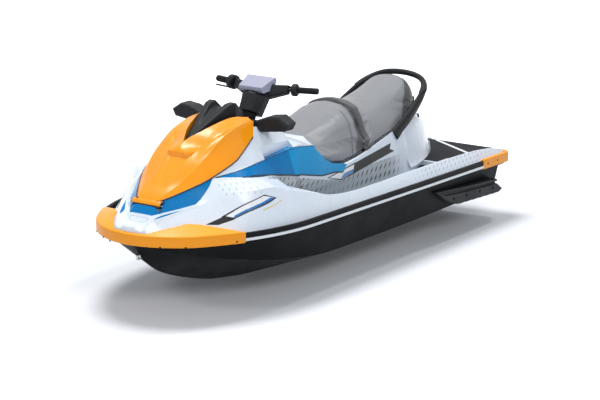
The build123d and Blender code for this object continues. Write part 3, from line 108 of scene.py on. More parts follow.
def ramp(tree, source, low, high, outLow=0.0, outHigh=1.0):
    node = addNode(tree, "ShaderNodeMapRange", interpolation_type="SMOOTHSTEP")
    tree.links.new(source, node.inputs["Value"])
    for label, value in (("From Min", low), ("From Max", high), ("To Min", outLow), ("To Max", outHigh)):
        if isinstance(value, (int, float)):
            node.inputs[label].default_value = value
        else:
            tree.links.new(value, node.inputs[label])
    return node.outputs["Result"]


def mixColour(tree, factor, first, second):
    node = addNode(tree, "ShaderNodeMix", data_type="RGBA")
    for label, source in (("Factor", factor), ("A", first), ("B", second)):
        socket = [s for s in node.inputs if s.name == label and s.enabled][0]
        if isinstance(source, (int, float, tuple)):
            socket.default_value = source
        else:
            tree.links.new(source, socket)
    return [s for s in node.outputs if s.enabled][0]


number, vectorKind = "NodeSocketFloat", "NodeSocketVector"


# inputs: name and first value; outputs: names, of which Normal is a vector
def newGroup(name, inputs, outputs):
    tree = bpy.data.node_groups.new(name, "ShaderNodeTree")
    for label, start in inputs.items():
        kind = vectorKind if isinstance(start, tuple) else number
        tree.interface.new_socket(name=label, in_out="INPUT", socket_type=kind).default_value = start
    for label in outputs:
        kind = vectorKind if label == "Normal" else number
        tree.interface.new_socket(name=label, in_out="OUTPUT", socket_type=kind)
    return tree, tree.nodes.new("NodeGroupInput").outputs, tree.nodes.new("NodeGroupOutput").inputs


def place(tree, group, **values):
    node = addNode(tree, "ShaderNodeGroup", node_tree=group)
    for label, value in values.items():
        if isinstance(value, (int, float, tuple)):
            node.inputs[label].default_value = value
        else:
            tree.links.new(value, node.inputs[label])
    return node.outputs


# X, Y and Z of the object's own coordinates
def objectPlace(tree):
    split = addNode(tree, "ShaderNodeSeparateXYZ")
    tree.links.new(addNode(tree, "ShaderNodeTexCoord").outputs["Object"], split.inputs[0])
    return split.outputs


def firstNode(tree, kind):
    return [n for n in tree.nodes if n.bl_idname == kind][0]


# first + second * slope
def slanted(tree, first, second, slope):
    return maths(tree, "ADD", first, maths(tree, "MULTIPLY", second, slope))


# 1 below a level, 0 above it
def under(tree, value, level, soft):
    return ramp(tree, value, level - soft, level + soft, 1.0, 0.0)


# a noise texture on the object's own coordinates
def noiseOn(tree, scale, detail):
    noise = addNode(tree, "ShaderNodeTexNoise")
    noise.inputs["Detail"].default_value = detail
    tree.links.new(addNode(tree, "ShaderNodeTexCoord").outputs["Object"], noise.inputs["Vector"])
    tree.links.new(scale, noise.inputs["Scale"])
    return noise.outputs["Fac"]


# fine grain, slow unevenness and a little colour drift of a moulded or painted surface
def buildMouldedSurface():
    inputs = dict(Grain=900.0, Patch=6.0, LowRough=0.2, HighRough=0.3, Drift=0.05)
    tree, given, out = newGroup("mouldedSurface", inputs, ("Height", "Roughness", "Shade"))
    slow = noiseOn(tree, given["Patch"], 4.0)
    tree.links.new(noiseOn(tree, given["Grain"], 3.0), out["Height"])
    tree.links.new(ramp(tree, slow, 0.3, 0.7, given["LowRough"], given["HighRough"]), out["Roughness"])
    swing = maths(tree, "MULTIPLY", maths(tree, "SUBTRACT", slow, 0.5), given["Drift"])
    tree.links.new(maths(tree, "ADD", swing, 1.0), out["Shade"])
    return tree


# rounded edges for hard parts, and a mask that is 1 along them
def buildSoftEdges():
    tree, given, out = newGroup("softEdges", dict(Radius=0.002), ("Normal", "Edge"))
    bevel = addNode(tree, "ShaderNodeBevel", samples=4)
    tree.links.new(given["Radius"], bevel.inputs["Radius"])
    facing = addNode(tree, "ShaderNodeNewGeometry")
    match = addNode(tree, "ShaderNodeVectorMath", operation="DOT_PRODUCT")
    tree.links.new(bevel.outputs["Normal"], match.inputs[0])
    tree.links.new(facing.outputs["Normal"], match.inputs[1])
    tree.links.new(bevel.outputs["Normal"], out["Normal"])
    tree.links.new(ramp(tree, match.outputs["Value"], 0.995, 0.9), out["Edge"])
    return tree


# grain of seat vinyl: small cells with soft wrinkles over them
def buildVinylGrain():
    tree, given, out = newGroup("vinylGrain", dict(Cells=620.0, Wrinkle=16.0, LowRough=0.4, HighRough=0.55),
                                ("Height", "Roughness", "Shade"))
    cells = addNode(tree, "ShaderNodeTexVoronoi", feature="DISTANCE_TO_EDGE")
    tree.links.new(addNode(tree, "ShaderNodeTexCoord").outputs["Object"], cells.inputs["Vector"])
    tree.links.new(given["Cells"], cells.inputs["Scale"])
    slow = noiseOn(tree, given["Wrinkle"], 5.0)
    pits = ramp(tree, cells.outputs["Distance"], 0.0, 0.25)
    tree.links.new(maths(tree, "ADD", maths(tree, "MULTIPLY", pits, 0.35), slow), out["Height"])
    tree.links.new(ramp(tree, slow, 0.3, 0.7, given["LowRough"], given["HighRough"]), out["Roughness"])
    tree.links.new(ramp(tree, slow, 0.2, 0.8, 0.93, 1.06), out["Shade"])
    return tree


# 1 inside a soft edged range of the object's own x, side distance and z
def buildZone():
    inputs = dict(LowX=0.0, HighX=1.0, LowY=0.0, HighY=1.0, LowZ=0.0, HighZ=1.0, SoftX=0.1, Soft=0.006)
    tree, given, out = newGroup("zone", inputs, ("Mask",))
    split = objectPlace(tree)
    side = maths(tree, "ABSOLUTE", split["Y"])
    mask = None
    for value, axis, soft in ((split["X"], "X", "SoftX"), (side, "Y", "Soft"), (split["Z"], "Z", "Soft")):
        low, high, soft = given["Low" + axis], given["High" + axis], given[soft]
        rise = ramp(tree, value, low, maths(tree, "ADD", low, soft))
        fall = ramp(tree, value, maths(tree, "SUBTRACT", high, soft), high, 1.0, 0.0)
        both = maths(tree, "MULTIPLY", rise, fall)
        mask = both if mask is None else maths(tree, "MULTIPLY", mask, both)
    tree.links.new(mask, out["Mask"])
    return tree


# rows of slanted dashes seen from the side, every second row set back by half a pitch
def buildDashes():
    inputs = dict(PitchX=0.034, PitchZ=0.026, Slant=0.5, Width=0.2, Length=0.38)
    tree, given, out = newGroup("dashes", inputs, ("Mask",))
    split = objectPlace(tree)
    across = maths(tree, "DIVIDE", split["Z"], given["PitchZ"])
    row = maths(tree, "FLOOR", across)
    lean = maths(tree, "MULTIPLY", split["Z"], given["Slant"])
    run = maths(tree, "DIVIDE", maths(tree, "ADD", split["X"], lean), given["PitchX"])
    run = maths(tree, "ADD", run, maths(tree, "MULTIPLY", row, 0.5))
    reach = None   # a dash is a long lozenge
    for value, size in ((run, given["Width"]), (across, given["Length"])):
        off = maths(tree, "ABSOLUTE", maths(tree, "SUBTRACT", maths(tree, "FRACT", value), 0.5))
        part = maths(tree, "DIVIDE", off, size)
        reach = part if reach is None else maths(tree, "ADD", reach, part)
    tree.links.new(ramp(tree, reach, 0.85, 1.0, 1.0, 0.0), out["Mask"])
    return tree


# parallel grooves along the craft for the foam mats
def buildGrooves():
    tree, given, out = newGroup("grooves", dict(Pitch=0.014, Width=0.28), ("Height",))
    split = objectPlace(tree)
    part = maths(tree, "FRACT", maths(tree, "DIVIDE", split["Y"], given["Pitch"]))
    off = maths(tree, "ABSOLUTE", maths(tree, "SUBTRACT", part, 0.5))
    wall = maths(tree, "SUBTRACT", given["Width"], 0.06)
    tree.links.new(ramp(tree, off, wall, given["Width"]), out["Height"])
    return tree


mouldedSurface, softEdges, vinylGrain = buildMouldedSurface(), buildSoftEdges(), buildVinylGrain()
zone, dashes, grooves = buildZone(), buildDashes(), buildGrooves()

# hard finishes: colour, roughness from and to, metal, gloss, coat, grain per metre, grain height and
# edge radius in metres, colour drift
finishes = {
    "hull": dict(colour=(0.0045, 0.0055, 0.0065), rough=(0.42, 0.52), gloss=0.07, grain=500, depth=0.00006),
    "deck": dict(colour=(0.73, 0.79, 0.875), rough=(0.22, 0.32), coat=0.15, grain=260, depth=0.00003,
                 drift=0.03),
    "trim_blue": dict(colour=(0.0, 0.185, 0.47), rough=(0.24, 0.3), gloss=0.14, grain=300, depth=0.00003,
                      drift=0.02),
    "hood_paint": dict(colour=(0.96, 0.325, 0.004), rough=(0.22, 0.28), gloss=0.3, coat=0.1, grain=300,
                       depth=0.00003, drift=0.02),
    "bumper": dict(colour=(0.97, 0.37, 0.006), rough=(0.34, 0.44), gloss=0.3, grain=700, depth=0.00006,
                   edge=0.006, drift=0.02),
    "console": dict(colour=(0.013, 0.0145, 0.0165), rough=(0.4, 0.52), gloss=0.16, grain=800, depth=0.00012,
                    drift=0.04),
    "rail": dict(colour=(0.007, 0.007, 0.009), rough=(0.46, 0.58), gloss=0.1, grain=900, depth=0.0001),
    "strip": dict(colour=(0.72, 0.74, 0.77), rough=(0.25, 0.35), coat=0.2, grain=500, depth=0.00004),
    "jet_metal": dict(colour=(0.42, 0.42, 0.44), rough=(0.32, 0.48), metal=0.9, grain=420, depth=0.00018),
    "steel": dict(colour=(0.58, 0.58, 0.6), rough=(0.18, 0.3), metal=1.0, grain=600, depth=0.00003),
    "engine": dict(colour=(0.1, 0.1, 0.11), rough=(0.5, 0.7), metal=0.4, grain=300, depth=0.0003),
    "bar": dict(colour=(0.012, 0.012, 0.014), rough=(0.34, 0.42), gloss=0.25, grain=700, depth=0.00005),
    "grip": dict(colour=(0.01, 0.01, 0.011), rough=(0.55, 0.7), gloss=0.15, grain=1100, depth=0.0002),
    "pad": dict(colour=(0.36, 0.365, 0.47), rough=(0.42, 0.55), grain=900, depth=0.0001),
    "mirror": dict(colour=(0.75, 0.78, 0.82), rough=(0.02, 0.05), metal=1.0, grain=10, depth=0.0),
    "mat": dict(colour=(0.03, 0.03, 0.034), rough=(0.75, 0.9), gloss=0.12, grain=1500, depth=0.0003),
    "blackLine": dict(colour=(0.01, 0.01, 0.012), rough=(0.35, 0.45), grain=700, depth=0.00004),
    "whiteFilm": dict(colour=(0.85, 0.87, 0.9), rough=(0.16, 0.22), coat=0.6, grain=300, depth=0.00002),
    "blueFilm": dict(colour=(0.0, 0.16, 0.46), rough=(0.16, 0.22), coat=0.6, grain=300, depth=0.00002),
    "yellowFilm": dict(colour=(0.75, 0.55, 0.12), rough=(0.2, 0.3), coat=0.4, grain=300, depth=0.00002),
}
materials = {}


def newMaterial(name, values):
    material = bpy.data.materials.new(name + "Finish")
    material.use_nodes = True
    tree = material.node_tree
    shader = tree.nodes["Principled BSDF"]
    low, high = values["rough"]
    surface = place(tree, mouldedSurface, Grain=float(values["grain"]), Patch=7.0, LowRough=low,
                    HighRough=high, Drift=values.get("drift", 0.10))
    shader.inputs["Metallic"].default_value = values.get("metal", 0.0)
    shader.inputs["Specular IOR Level"].default_value = values.get("gloss", 0.35)
    shader.inputs["Coat Weight"].default_value = values.get("coat", 0.0)
    shader.inputs["Coat Roughness"].default_value = 0.06
    edges = place(tree, softEdges, Radius=values.get("edge", 0.003))
    bump = addNode(tree, "ShaderNodeBump")
    bump.inputs["Strength"].default_value = 1.0
    bump.inputs["Distance"].default_value = max(values["depth"], 1e-6)
    tree.links.new(surface["Height"], bump.inputs["Height"])
    tree.links.new(edges["Normal"], bump.inputs["Normal"])
    tree.links.new(bump.outputs["Normal"], shader.inputs["Normal"])
    tree.links.new(surface["Roughness"], shader.inputs["Roughness"])
    base = values["colour"] + (1,)
    # edges are painted lighter along the softEdges mask: a painted highlight on the rounded edges
    lighter = tuple(min(1.0, c * 1.25 + 0.015) for c in values["colour"]) + (1,)
    edgeHighlight = mixColour(tree, maths(tree, "MULTIPLY", edges["Edge"], 0.5), base, lighter)
    shade = addNode(tree, "ShaderNodeVectorMath", operation="SCALE")
    tree.links.new(edgeHighlight, shade.inputs[0])
    tree.links.new(surface["Shade"], shade.inputs["Scale"])
    tree.links.new(shade.outputs["Vector"], shader.inputs["Base Color"])
    materials[name] = material
    return material, tree, shader, shade, bump


for name, values in finishes.items():
    newMaterial(name, values)


def colourInto(shade):
    return shade.inputs[0].links[0].from_socket


# the deck carries a printed field of dashes on the pedestal, the stern coaming and beside the hood; the
# pedestal's lower flank under the field top is painted grey, partly the print's grey ground and partly
# painted shade
deckPrint = {
    "greyField": (0.42, 0.46, 0.50, 1), "dash": (0.055, 0.065, 0.08, 1), "paleDash": (0.50, 0.54, 0.60, 1),
    "field": dict(LowX=0.80, HighX=2.42, LowY=0.20, HighY=0.372, LowZ=0.05, HighZ=0.44, SoftX=0.22,
                  Soft=0.006),
    "fieldTop": 0.286, "fieldTopSoft": 0.006, "riseFrom": 1.65, "rise": 0.24,
    "marks": dict(PitchX=0.050, PitchZ=0.046, Slant=1.05, Width=0.20, Length=0.47),
    "palestX": 1.55, "fadeWidth": 0.35, "palest": 0.35,
    "pale": [   # where the pale dashes are, and their pattern
        (dict(LowX=0.05, HighX=1.15, LowY=0.505, HighY=0.62, LowZ=0.176, HighZ=0.238, SoftX=0.25, Soft=0.005),
         dict(PitchX=0.046, PitchZ=0.024, Slant=1.1, Width=0.19, Length=0.47)),
        (dict(LowX=2.44, HighX=2.68, LowY=0.25, HighY=0.45, LowZ=0.40, HighZ=0.475, SoftX=0.04, Soft=0.006),
         dict(PitchX=0.030, PitchZ=0.022, Slant=0.7, Width=0.14, Length=0.42)),
    ],
}


def printDeck(values):
    tree = materials["deck"].node_tree
    shade = firstNode(tree, "ShaderNodeVectorMath")
    split = objectPlace(tree)
    ahead = maths(tree, "MAXIMUM", maths(tree, "SUBTRACT", split["X"], values["riseFrom"]), 0.0)
    level = maths(tree, "SUBTRACT", split["Z"], maths(tree, "MULTIPLY", ahead, values["rise"]))
    below = ramp(tree, level, values["fieldTop"], values["fieldTop"] + values["fieldTopSoft"], 1.0, 0.0)
    field = maths(tree, "MULTIPLY", place(tree, zone, **values["field"])["Mask"], below)
    # grey ground on the pedestal's lower flank: partly print, partly painted shade
    ground = mixColour(tree, field, colourInto(shade), values["greyField"])
    off = maths(tree, "ABSOLUTE", maths(tree, "SUBTRACT", split["X"], values["palestX"]))
    fade = ramp(tree, off, 0.0, values["fadeWidth"], values["palest"], 1.0)
    marks = maths(tree, "MULTIPLY", place(tree, dashes, **values["marks"])["Mask"], field)
    ground = mixColour(tree, maths(tree, "MULTIPLY", marks, fade), ground, values["dash"])
    for where, pattern in values["pale"]:
        inside = place(tree, zone, **where)["Mask"]
        marks = maths(tree, "MULTIPLY", inside, place(tree, dashes, **pattern)["Mask"])
        ground = mixColour(tree, marks, ground, values["paleDash"])
    tree.links.new(ground, shade.inputs[0])


printDeck(deckPrint)


# the bow trim is blue above a line that rises aft, and white as the deck below it; the side covers are
# painted lighter behind a crease, a painted highlight on that facet of the one blue cover
trimLine = {"rise": 0.9434, "slope": 0.2065, "from": 2.60, "facet": 1.967,
            "lighter": (0.006, 0.32, 0.66, 1)}


def endTrim(values):
    tree = materials["trim_blue"].node_tree
    shade = firstNode(tree, "ShaderNodeVectorMath")
    split = objectPlace(tree)
    level = slanted(tree, split["Z"], split["X"], values["slope"])
    below = ramp(tree, level, values["rise"] - 0.0008, values["rise"], 1.0, 0.0)
    below = maths(tree, "MULTIPLY", below, maths(tree, "GREATER_THAN", split["X"], values["from"]))
    crease = slanted(tree, split["X"], split["Z"], -0.10)
    facet = ramp(tree, crease, values["facet"] - 0.015, values["facet"], 1.0, 0.0)
    # painted highlight: the covers' blue is lighter behind the crease
    ground = mixColour(tree, facet, colourInto(shade), values["lighter"])
    tree.links.new(mixColour(tree, below, ground, finishes["deck"]["colour"] + (1,)), shade.inputs[0])


endTrim(trimLine)


# the bumpers' upright band is painted a deeper amber than their top: painted shade on the band, which takes
# less light than the top
bumperBand = {"top": 0.180, "rise": 0.021, "colour": (0.86, 0.30, 0.004, 1)}


def shadeBumperBand(values):
    tree = materials["bumper"].node_tree
    shade = firstNode(tree, "ShaderNodeVectorMath")
    split = objectPlace(tree)
    height = slanted(tree, split["Z"], split["X"], -values["rise"])
    band = ramp(tree, height, values["top"] - 0.004, values["top"], 1.0, 0.0)
    # painted shade: the upright band darker than the top
    tree.links.new(mixColour(tree, band, colourInto(shade), values["colour"]), shade.inputs[0])


shadeBumperBand(bumperBand)


# 1 on a line between two places seen from above, falling to 0 at Width beside it, the same on both sides
def buildRidge():
    tree, given, out = newGroup("ridge", dict(From=(0, 0, 0), To=(1, 0, 0), Width=0.03), ("Height",))
    split = objectPlace(tree)
    spot = addNode(tree, "ShaderNodeCombineXYZ")
    tree.links.new(split["X"], spot.inputs["X"])
    tree.links.new(maths(tree, "ABSOLUTE", split["Y"]), spot.inputs["Y"])

    def vectors(operation, first, second, result="Vector"):
        node = addNode(tree, "ShaderNodeVectorMath", operation=operation)
        tree.links.new(first, node.inputs[0])
        tree.links.new(second, node.inputs["Scale" if operation == "SCALE" else 1])
        return node.outputs[result]

    run = vectors("SUBTRACT", given["To"], given["From"])
    away = vectors("SUBTRACT", spot.outputs[0], given["From"])
    share = maths(tree, "DIVIDE", vectors("DOT_PRODUCT", away, run, "Value"),
                  vectors("DOT_PRODUCT", run, run, "Value"))
    share = maths(tree, "MAXIMUM", maths(tree, "MINIMUM", share, 1.0), 0.0)
    nearest = vectors("ADD", given["From"], vectors("SCALE", run, share))
    off = vectors("DISTANCE", spot.outputs[0], nearest, "Value")
    ends = maths(tree, "MULTIPLY", ramp(tree, share, 0.0, 0.3), ramp(tree, share, 0.7, 1.0, 1.0, 0.0))
    flank = ramp(tree, off, 0.0, given["Width"], 1.0, 0.0)
    tree.links.new(maths(tree, "MULTIPLY", flank, ends), out["Height"])
    return tree


ridge = buildRidge()
hoodCreases = [  # from, to, width, height
    ((2.560, 0.092, 0), (2.860, 0.036, 0), 0.045, 1.0),
    ((2.900, 0.100, 0), (2.450, 0.222, 0), 0.050, -1.0),
    ((2.660, 0.120, 0), (2.240, 0.185, 0), 0.050, 1.0),
]


# a bump over the material's own one
def pressInto(tree, height, depth):
    own = firstNode(tree, "ShaderNodeBump")
    over = addNode(tree, "ShaderNodeBump")
    over.inputs["Distance"].default_value = depth
    tree.links.new(height, over.inputs["Height"])
    tree.links.new(own.outputs["Normal"], over.inputs["Normal"])
    tree.links.new(over.outputs["Normal"], tree.nodes["Principled BSDF"].inputs["Normal"])


def creaseHood(rows, depth):
    tree = materials["hood_paint"].node_tree
    total = None
    for start, end, width, height in rows:
        part = maths(tree, "MULTIPLY", place(tree, ridge, From=start, To=end, Width=width)["Height"], height)
        total = part if total is None else maths(tree, "ADD", total, part)
    pressInto(tree, total, depth)


creaseHood(hoodCreases, 0.007)

# foam mats: grooves along the craft
matTree = materials["mat"].node_tree
pressInto(matTree, place(matTree, grooves)["Height"], 0.0025)


# seat vinyl: light grey cover, charcoal for rims and arch
vinyls = {
    "seat": {"colour": (0.200, 0.206, 0.222), "rough": (0.32, 0.42), "sheen": 0.08},
    "seat_rim": {"colour": (0.036, 0.038, 0.043), "rough": (0.38, 0.50), "sheen": 0.04},
    "piping": {"colour": (0.085, 0.087, 0.092), "rough": (0.42, 0.55), "sheen": 0.10},
}
# seen from the side, the front cushion is charcoal behind the lip's line and the rear one below the rim's
archLip = {"level": 1.398, "slope": 0.354}
rimLine = {"rise": 1.130, "slope": 0.923, "front": 0.92}


def newVinyl(name, values):
    material = bpy.data.materials.new(name + "Vinyl")
    material.use_nodes = True
    tree = material.node_tree
    shader = tree.nodes["Principled BSDF"]
    grain = place(tree, vinylGrain, LowRough=values["rough"][0], HighRough=values["rough"][1])
    shader.inputs["Sheen Weight"].default_value = values["sheen"]
    shader.inputs["Coat Weight"].default_value = 0.22
    shader.inputs["Coat Roughness"].default_value = 0.26
    bump = addNode(tree, "ShaderNodeBump")
    bump.inputs["Distance"].default_value = 0.0012
    bump.inputs["Strength"].default_value = 0.6
    tree.links.new(grain["Height"], bump.inputs["Height"])
    tree.links.new(bump.outputs["Normal"], shader.inputs["Normal"])
    tree.links.new(grain["Roughness"], shader.inputs["Roughness"])
    shade = addNode(tree, "ShaderNodeVectorMath", operation="SCALE")
    shade.inputs[0].default_value = values["colour"]
    tree.links.new(grain["Shade"], shade.inputs["Scale"])
    tree.links.new(shade.outputs["Vector"], shader.inputs["Base Color"])
    materials[name] = material
    return tree, shade


for name, values in vinyls.items():
    newVinyl(name, values)


# seat vinyl with charcoal where the mask is 1
def twoTone(name, makeMask):
    tree, shade = newVinyl(name, vinyls["seat"])
    colours = [vinyls[key]["colour"] + (1,) for key in ("seat", "seat_rim")]
    tree.links.new(mixColour(tree, makeMask(tree, objectPlace(tree)), *colours), shade.inputs[0])


def rimMask(tree, split):
    below = under(tree, slanted(tree, split["Z"], split["X"], rimLine["slope"]), rimLine["rise"], 0.001)
    behind = ramp(tree, split["X"], rimLine["front"] - 0.01, rimLine["front"], 1.0, 0.0)
    return maths(tree, "MULTIPLY", below, behind)


def lipMask(tree, split):
    return under(tree, slanted(tree, split["X"], split["Z"], archLip["slope"]), archLip["level"], 0.001)


twoTone("seatRear", rimMask)
twoTone("seatFront", lipMask)
print("materials made:", len(materials))

# studio: pale floor under the keel, soft lamps and a white world
studio = {
    "floorZ": -0.2405, "floorSize": 60.0,
    "floorColour": (0.88, 0.89, 0.92, 1), "glowNear": 0.05, "glowFar": 1.0, "glowFrom": 1.9, "glowTo": 3.6,
    "worldStrength": 0.34, "worldColour": (0.80, 0.90, 1.0, 1),
    "lamps": [  # place, aim, size, watts
        ((1.4, -1.5, 8.4), (1.6, 0.0, 0.2), 3.4, 510),
        ((-2.2, 1.4, 7.4), (0.9, 0.0, 0.5), 0.9, 110),
        ((6.0, 6.0, 4.6), (1.8, 0.0, 0.3), 2.4, 180),
        ((7.5, -1.5, 4.0), (2.2, -0.2, 0.4), 1.2, 60),
    ],
}


def seenStraight(tree):
    path = addNode(tree, "ShaderNodeLightPath")
    seen = maths(tree, "MAXIMUM", path.outputs["Is Camera Ray"], path.outputs["Is Transmission Ray"])
    return maths(tree, "MAXIMUM", seen, path.outputs["Is Glossy Ray"])


def makeStudio(values):
    world = bpy.data.worlds.new("studioWorld")
    bpy.context.scene.world = world
    world.use_nodes = True
    tree = world.node_tree
    background = tree.nodes["Background"]
    seen = seenStraight(tree)
    tree.links.new(mixColour(tree, seen, values["worldColour"], (1, 1, 1, 1)), background.inputs["Color"])
    tree.links.new(ramp(tree, seen, 0.0, 1.0, values["worldStrength"], 1.0), background.inputs["Strength"])

    half = values["floorSize"] / 2
    mesh = bpy.data.meshes.new("studioFloor")
    mesh.from_pydata([(-half, -half, values["floorZ"]), (half, -half, values["floorZ"]),
                      (half, half, values["floorZ"]), (-half, half, values["floorZ"])], [], [(0, 1, 2, 3)])
    floor = bpy.data.objects.new("studioFloor", mesh)
    bpy.context.collection.objects.link(floor)
    material = bpy.data.materials.new("studioFloor")
    material.use_nodes = True
    tree = material.node_tree
    shader = tree.nodes["Principled BSDF"]
    shader.inputs["Base Color"].default_value = values["floorColour"]
    shader.inputs["Roughness"].default_value = 0.9
    shader.inputs["Specular IOR Level"].default_value = 0.1
    shader.inputs["Emission Color"].default_value = (1, 1, 1, 1)
    spot = addNode(tree, "ShaderNodeVectorMath", operation="DISTANCE")
    tree.links.new(addNode(tree, "ShaderNodeTexCoord").outputs["Object"], spot.inputs[0])
    spot.inputs[1].default_value = (1.5, 0.0, values["floorZ"])
    glow = ramp(tree, spot.outputs["Value"], values["glowFrom"], values["glowTo"], values["glowNear"],
                values["glowFar"])
    tree.links.new(maths(tree, "MULTIPLY", seenStraight(tree), glow), shader.inputs["Emission Strength"])
    floor.data.materials.append(material)
    for spot, aim, size, watts in values["lamps"]:
        data = bpy.data.lights.new("softLamp", "AREA")
        data.shape, data.size, data.energy = "DISK", size, watts
        lamp = bpy.data.objects.new("softLamp", data)
        bpy.context.collection.objects.link(lamp)
        lamp.location = spot
        lamp.rotation_mode = "QUATERNION"
        lamp.rotation_quaternion = (Vector(aim) - Vector(spot)).to_track_quat("-Z", "Y")


makeStudio(studio)
print("studio made")


# pieces
def merged(name):
    work = bmesh.new()
    work.from_mesh(nodes[name].data)
    bmesh.ops.remove_doubles(work, verts=work.verts, dist=0.00002)
    return work


def newPiece(name, mesh, body, material, replaced=()):
    piece = bpy.data.objects.new(name, mesh)
    bpy.context.collection.objects.link(piece)
    mesh.materials.clear()
    mesh.materials.append(materials[material])
    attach(piece, body)
    if replaced:
        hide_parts(*replaced)
    return piece


def smoothShade(work, angle):
    for face in work.faces:
        face.smooth = True
    for edge in work.edges:
        edge.smooth = len(edge.link_faces) == 2 and edge.calc_face_angle(0) < math.radians(angle)


def bake(piece):
    graph = bpy.context.evaluated_depsgraph_get()
    mesh = bpy.data.meshes.new_from_object(piece.evaluated_get(graph), depsgraph=graph)
    piece.modifiers.clear()
    old = piece.data
    piece.data = mesh
    bpy.data.meshes.remove(old)
    return mesh


skins = {}


# parts with soft corners: voxel size in metres and rounds of easing
softCorners = {
    "bow_bumper": (0.005, 8), "stern_bumper_left": (0.004, 6), "stern_bumper_right": (0.004, 6),
    "mirror_left": (0.004, 8), "mirror_right": (0.004, 8), "meter_cowl": (0.005, 4), "bar_pad": (0.003, 5),
    "steering_cover": (0.004, 5), "tail_block": (0.003, 6), "sponson_left": (0.004, 3),
    "sponson_right": (0.004, 3)}
# the pedestal draws in towards its tail
tailDraw = {"fromX": 0.78, "toX": 0.44, "fromZ": 0.22, "toZ": 0.35, "draw": 0.24, "drop": 0.035,
            "side": 0.36}


def easeStep(value, low, high):
    t = max(0.0, min(1.0, (value - low) / (high - low)))
    return t * t * (3 - 2 * t)


def drawTail(work, values):
    for vert in work.verts:
        x, y, z = vert.co
        if x < values["fromX"] and abs(y) < values["side"]:
            share = easeStep(x, values["fromX"], values["toX"]) * easeStep(z, values["fromZ"], values["toZ"])
            vert.co.y = y * (1 - values["draw"] * share)
            vert.co.z = z - values["drop"] * share


smoothAngle = 17   # edges that turn by more than this stay sharp


def skin(name):
    work = merged(name)
    if name == "deck":
        drawTail(work, tailDraw)
    smoothShade(work, smoothAngle)
    mesh = bpy.data.meshes.new(name + "Skin")
    work.to_mesh(mesh)
    work.free()
    piece = newPiece(name + "Skin", mesh, nodes[name]["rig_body"], slotOf[name], (name,))
    if name in softCorners:
        voxel, ease = softCorners[name]
        remesh = piece.modifiers.new("remesh", "REMESH")
        remesh.mode, remesh.voxel_size = "VOXEL", voxel
        soften = piece.modifiers.new("soften", "SMOOTH")
        soften.factor, soften.iterations = 0.5, ease
        for face in bake(piece).polygons:
            face.use_smooth = True
    skins[name] = piece


redrawn = {"seat_front", "seat_rear", "seat_bolster", "grab_handle"}   # nodes that get a piece of their own
for name in sorted(set(nodes) - redrawn):
    skin(name)
print("hard skins made:", len(skins))


cushionSetup = {"voxel": 0.007, "shrink": 0.005, "ease": 14, "pressure": 4.0, "cap": 0.011, "frames": 20,
                "crownFrom": 0.42, "crownWidth": 0.21, "crownDrop": 0.30}


def cushion(node, name, material, values):
    work = merged(node)
    mesh = bpy.data.meshes.new(name)
    work.to_mesh(mesh)
    work.free()
    piece = bpy.data.objects.new(name, mesh)
    bpy.context.collection.objects.link(piece)
    remesh = piece.modifiers.new("remesh", "REMESH")
    remesh.mode, remesh.voxel_size = "VOXEL", values["voxel"]
    mesh = bake(piece)
    work = bmesh.new()
    work.from_mesh(mesh)
    work.normal_update()
    for vert in work.verts:
        vert.co -= vert.normal * values["shrink"]
    for vert in work.verts:   # the top falls away to both sides
        over = vert.co.z - values["crownFrom"]
        if over > 0:
            reach = min(abs(vert.co.y) / values["crownWidth"], 1.35)
            vert.co.z = values["crownFrom"] + over * (1 - values["crownDrop"] * reach ** 2.4)
    for _ in range(values["ease"]):
        bmesh.ops.smooth_vert(work, verts=work.verts, factor=0.5, use_axis_x=True, use_axis_y=True,
                              use_axis_z=True)
    work.normal_update()
    under = [v.index for v in work.verts if v.normal.z < -0.55]
    work.to_mesh(mesh)
    work.free()
    group = piece.vertex_groups.new(name="underside")
    group.add(under, 1.0, "REPLACE")
    cloth = piece.modifiers.new("foam", "CLOTH")
    cloth.settings.quality = 5
    cloth.settings.mass = 0.4
    cloth.settings.tension_stiffness = cloth.settings.compression_stiffness = 30
    cloth.settings.shear_stiffness = 20
    cloth.settings.bending_stiffness = 8
    cloth.settings.use_pressure = True
    cloth.settings.uniform_pressure_force = values["pressure"]
    cloth.settings.vertex_group_mass = "underside"
    cloth.settings.effector_weights.gravity = 0
    cloth.point_cache.frame_start, cloth.point_cache.frame_end = 1, values["frames"]
    rest = [v.co.copy() for v in piece.data.vertices]
    for number in range(1, values["frames"] + 1):
        bpy.context.scene.frame_set(number)
    mesh = bake(piece)
    bpy.context.scene.frame_set(1)
    for vert, start in zip(mesh.vertices, rest):
        move = vert.co - start
        if move.length > values["cap"]:
            vert.co = start + move * (values["cap"] / move.length)
    smoother = piece.modifiers.new("finer", "SUBSURF")
    smoother.levels = smoother.render_levels = 1
    mesh = bake(piece)
    for face in mesh.polygons:
        face.use_smooth = True
    mesh.materials.clear()
    mesh.materials.append(materials[material])
    piece.vertex_groups.clear()
    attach(piece, nodes[node]["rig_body"])
    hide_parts(node)
    print("cushion made:", name, len(mesh.polygons))
    return piece


frontCushion = cushion("seat_front", "seatFrontCushion", "seatFront", cushionSetup)
rearCushion = cushion("seat_rear", "seatRearCushion", "seatRear", cushionSetup)
cushion("seat_bolster", "seatArchCushion", "seat_rim", {**cushionSetup, "shrink": 0.0, "ease": 3})


# geometry node trees for what repeats or follows a line; inputs: name and kind
materialKind, wholeKind = "NodeSocketMaterial", "NodeSocketInt"


